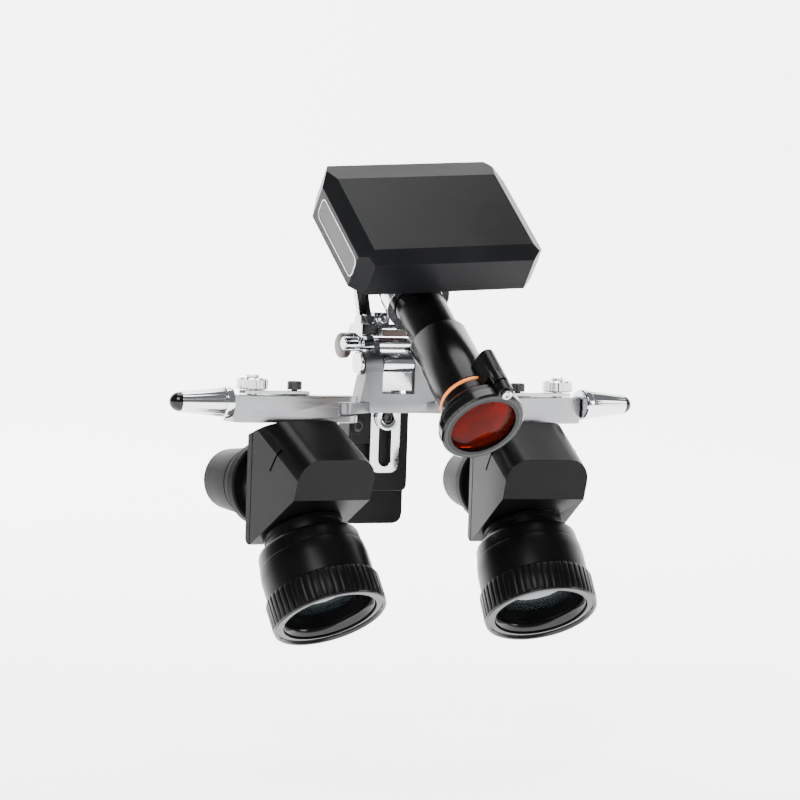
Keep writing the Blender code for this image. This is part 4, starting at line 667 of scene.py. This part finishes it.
def panel_rim():
    """Fine bright line around a touch panel, which faces along x."""
    height = 0.12
    outer = rounded_panel(PANEL_HALF_WIDTH, PANEL_HALF_LENGTH, 1.8)
    inner = rounded_panel(PANEL_HALF_WIDTH - PANEL_RIM, PANEL_HALF_LENGTH - PANEL_RIM, 1.6)
    mesh_data = bmesh.new()
    rows = []
    for outline, level in ((outer, 0.0), (outer, height), (inner, height), (inner, 0.0)):
        rows.append([mesh_data.verts.new((level * MM, y * MM, z * MM)) for y, z in outline])
    skin(mesh_data, rows + rows[:1])
    return mesh_data


def rounded_panel(half_width, half_length, corner):
    """Outline of a rectangle with round corners, in millimetres."""
    outline = []
    for quarter, (sx, sz) in enumerate(((1, -1), (1, 1), (-1, 1), (-1, -1))):
        for step in range(7):
            angle = math.radians(-90 + 90 * quarter + 15 * step)
            outline.append((sx * (half_width - corner) + corner * math.cos(angle),
                            sz * (half_length - corner) + corner * math.sin(angle)))
    return outline


def build_light_tubes():
    place = light_frame()
    softened("lower_tube", "light", TUBE_BLACK, 0.1)
    upper = [(0, 62.5), (4.7, 62.5), (4.7, 30.8), (5.9, 30.8), (UPPER_TUBE_RADIUS, 31.0),
             (UPPER_TUBE_RADIUS, 63.2), (5.9, 63.7), (5.4, 64.0), (0, 64.0)]
    add_piece("upper_tube_look", lathe(upper), "light", TUBE_BLACK, place,
              ("upper_tube",), 0.08)
    sleeve = [(5.86, 7.1), (SLEEVE_RADIUS, 7.1), (SLEEVE_RADIUS, 8.9), (6.9, 8.95), (6.9, 10.25),
              (SLEEVE_RADIUS, 10.3), (SLEEVE_RADIUS, 29.9), (7.0, 30.3), (6.6, 30.5), (2.0, 30.5),
              (2.0, 28.7), (5.86, 28.7)]
    add_piece("lower_tube_sleeve", lathe(sleeve, 128), "light", TUBE_BLACK, place,
              (), 0.08)
    accent = [(6.8, 9.15), (7.25, 9.15), (7.38, 9.3), (7.38, 9.9), (7.25, 10.05), (6.8, 10.05)]
    add_piece("accent_ring_look", lathe(accent, 128), "light", ORANGE, place,
              ("accent_ring",))
    lens = [(0, 5.8), (3.3, 6.1), (5.55, 7.0), (5.55, 8.5), (1.95, 14.5), (0, 14.5)]
    add_piece("collimator_look", lathe(lens), "light", COLLIMATOR, place,
              ("collimator_lens",), 0.1)
    nodes["lamp_board"].material_slots[0].material = BOARD
    # The reflector's orange colour is a painted reflection of amber light in the mouth.
    reflector = [(5.7, 7.2), (5.8, 7.2), (7.95, 3.45), (7.95, 3.35), (7.75, 3.35), (5.6, 7.1)]
    add_piece("mouth_reflector", lathe(reflector), "light", REFLECTOR_PAINTED_REFLECTION, place)


def build_filter():
    """Frame with a glossy ring just proud of it, the amber glass and its hinge screw."""
    softened("filter_frame", "filter", TUBE_BLACK, 0.12)
    proud = 0.02
    ring = [(8.3, 0.7), (8.3, 0.25), (8.5, 0.05), (9.6, 0), (10.1, 0.05), (10.5, 0.45),
            (10.5, 2.6), (10.3, 2.8), (9.4, 2.8), (9.4, 0.7)]
    add_piece("filter_ring_look", lathe([(r + proud, h - proud) for r, h in ring], 128), "filter",
              GLOSS_BLACK, light_frame(), (), 0.05)
    glass = [(0, 0.95), (8.8, 1.0), (9.1, 1.15), (9.1, 2.05), (8.9, 2.2), (0, 2.2)]
    add_piece("filter_glass_look", lathe(glass, 96), "filter", AMBER,
              light_frame(), ("filter_glass",))
    hinge = Matrix.Translation((FILTER_HINGE_RADIUS * math.cos(FILTER_HINGE_ANGLE) * MM,
                                FILTER_HINGE_RADIUS * math.sin(FILTER_HINGE_ANGLE) * MM, 0))
    add_piece("filter_screw_look", socket_head(1.26, 0.25, 1.1, 0.6, 0.7, -12.0), "light", STEEL,
              light_frame() @ hinge @ Matrix.Rotation(math.pi, 4, "X"),
              ("filter_screw",))


# ---------------------------------------------------------------- studio and camera

CAMERA_AZIMUTH = math.radians(29.124)
CAMERA_DROP = math.radians(2.5975)
CAMERA_ROLL = math.radians(1.8694)
CAMERA_DISTANCE = 1.0
CAMERA_LENS = 186.1
FLOOR_GAP = 0.03
SWEEP_RADIUS = 0.8
SWEEP_START = 1.2
FLOOR_HALF_WIDTH = 4


def build_floor():
    """Pale floor that curves up into a pale wall behind the object."""
    material, tree, shader = new_material("studio_white")
    faint = noise(tree, 3)
    link(tree, tint(tree, faint, (0.90, 0.90, 0.90), (0.92, 0.92, 0.92)),
         shader.inputs["Base Color"])
    shader.inputs["Roughness"].default_value = 0.9
    shader.inputs["Emission Color"].default_value = (1.0, 1.0, 1.0, 1)
    shader.inputs["Emission Strength"].default_value = 3.0
    mesh_data = bmesh.new()
    low = cad_box[0][2] - FLOOR_GAP
    profile = [(-3.0, low), (SWEEP_START, low)]
    profile += [(SWEEP_START + SWEEP_RADIUS * math.sin(math.radians(a)),
                 low + SWEEP_RADIUS - SWEEP_RADIUS * math.cos(math.radians(a)))
                for a in range(10, 91, 10)]
    profile += [(SWEEP_START + SWEEP_RADIUS, 3.0)]
    turn = Matrix.Rotation(math.radians(-29), 4, "Z")
    rows = []
    for reach, height in profile:
        rows.append([mesh_data.verts.new(turn @ Vector((x, reach, height)))
                     for x in (-FLOOR_HALF_WIDTH, FLOOR_HALF_WIDTH)])
    for near, far in zip(rows, rows[1:]):
        mesh_data.faces.new((near[0], near[1], far[1], far[0]))
    mesh = bpy.data.meshes.new("studio_floor")
    mesh_data.to_mesh(mesh)
    mesh_data.free()
    floor = new_object("studio_floor", mesh)
    mesh.materials.append(material)
    mesh.shade_smooth()


def build_lights():
    """A dim surround, three soft lights on the object and one on the wall."""
    world = bpy.data.worlds.new("surround")
    bpy.context.scene.world = world
    world.use_nodes = True
    backdrop = world.node_tree.nodes["Background"]
    backdrop.inputs["Color"].default_value = (0.85, 0.87, 0.90, 1)
    backdrop.inputs["Strength"].default_value = 0.30
    soft_light("key", (-0.60, -0.75, 0.75), size=0.50, power=14)
    soft_light("fill", (0.75, -0.65, 0.25), size=0.35, power=3)
    soft_light("top", (0.05, 0.1, 0.95), size=0.6, power=9)
    soft_light("back_wall", (-0.3, 0.9, 1.1), size=1.2, power=60, target=(0.9, 2.2, 0.3))


def soft_light(name, place, size, power, target=(0, 0, 0)):
    lamp = bpy.data.lights.new(name, "AREA")
    lamp.shape = "SQUARE"
    lamp.size = size
    lamp.energy = power
    item = new_object(name, lamp)
    item.location = place
    aim = Vector(target) - Vector(place)
    item.rotation_euler = aim.to_track_quat("-Z", "Y").to_euler()


def build_camera():
    """Seen from the front and the wearer's right, a little from above."""
    data = bpy.data.cameras.new("camera")
    data.lens = CAMERA_LENS
    data.sensor_width = 36.0
    data.clip_start = 0.05
    item = new_object("camera", data)
    turn = Matrix.Rotation(-CAMERA_AZIMUTH, 4, "Z")
    turn = turn @ Matrix.Rotation(math.pi / 2 - CAMERA_DROP, 4, "X")
    turn = turn @ Matrix.Rotation(CAMERA_ROLL, 4, "Z")
    item.matrix_world = spot(*CAMERA_TARGET) @ turn @ Matrix.Translation((0, 0, CAMERA_DISTANCE))
    bpy.context.scene.camera = item


build_camera()
build_mount()
build_lift()
build_flip_unit()
for side, word in SIDES:
    build_arm(side, word)
    build_telescope(side, word)
build_bracket()
build_battery_box()
build_light_tubes()
build_filter()
build_floor()
build_lights()
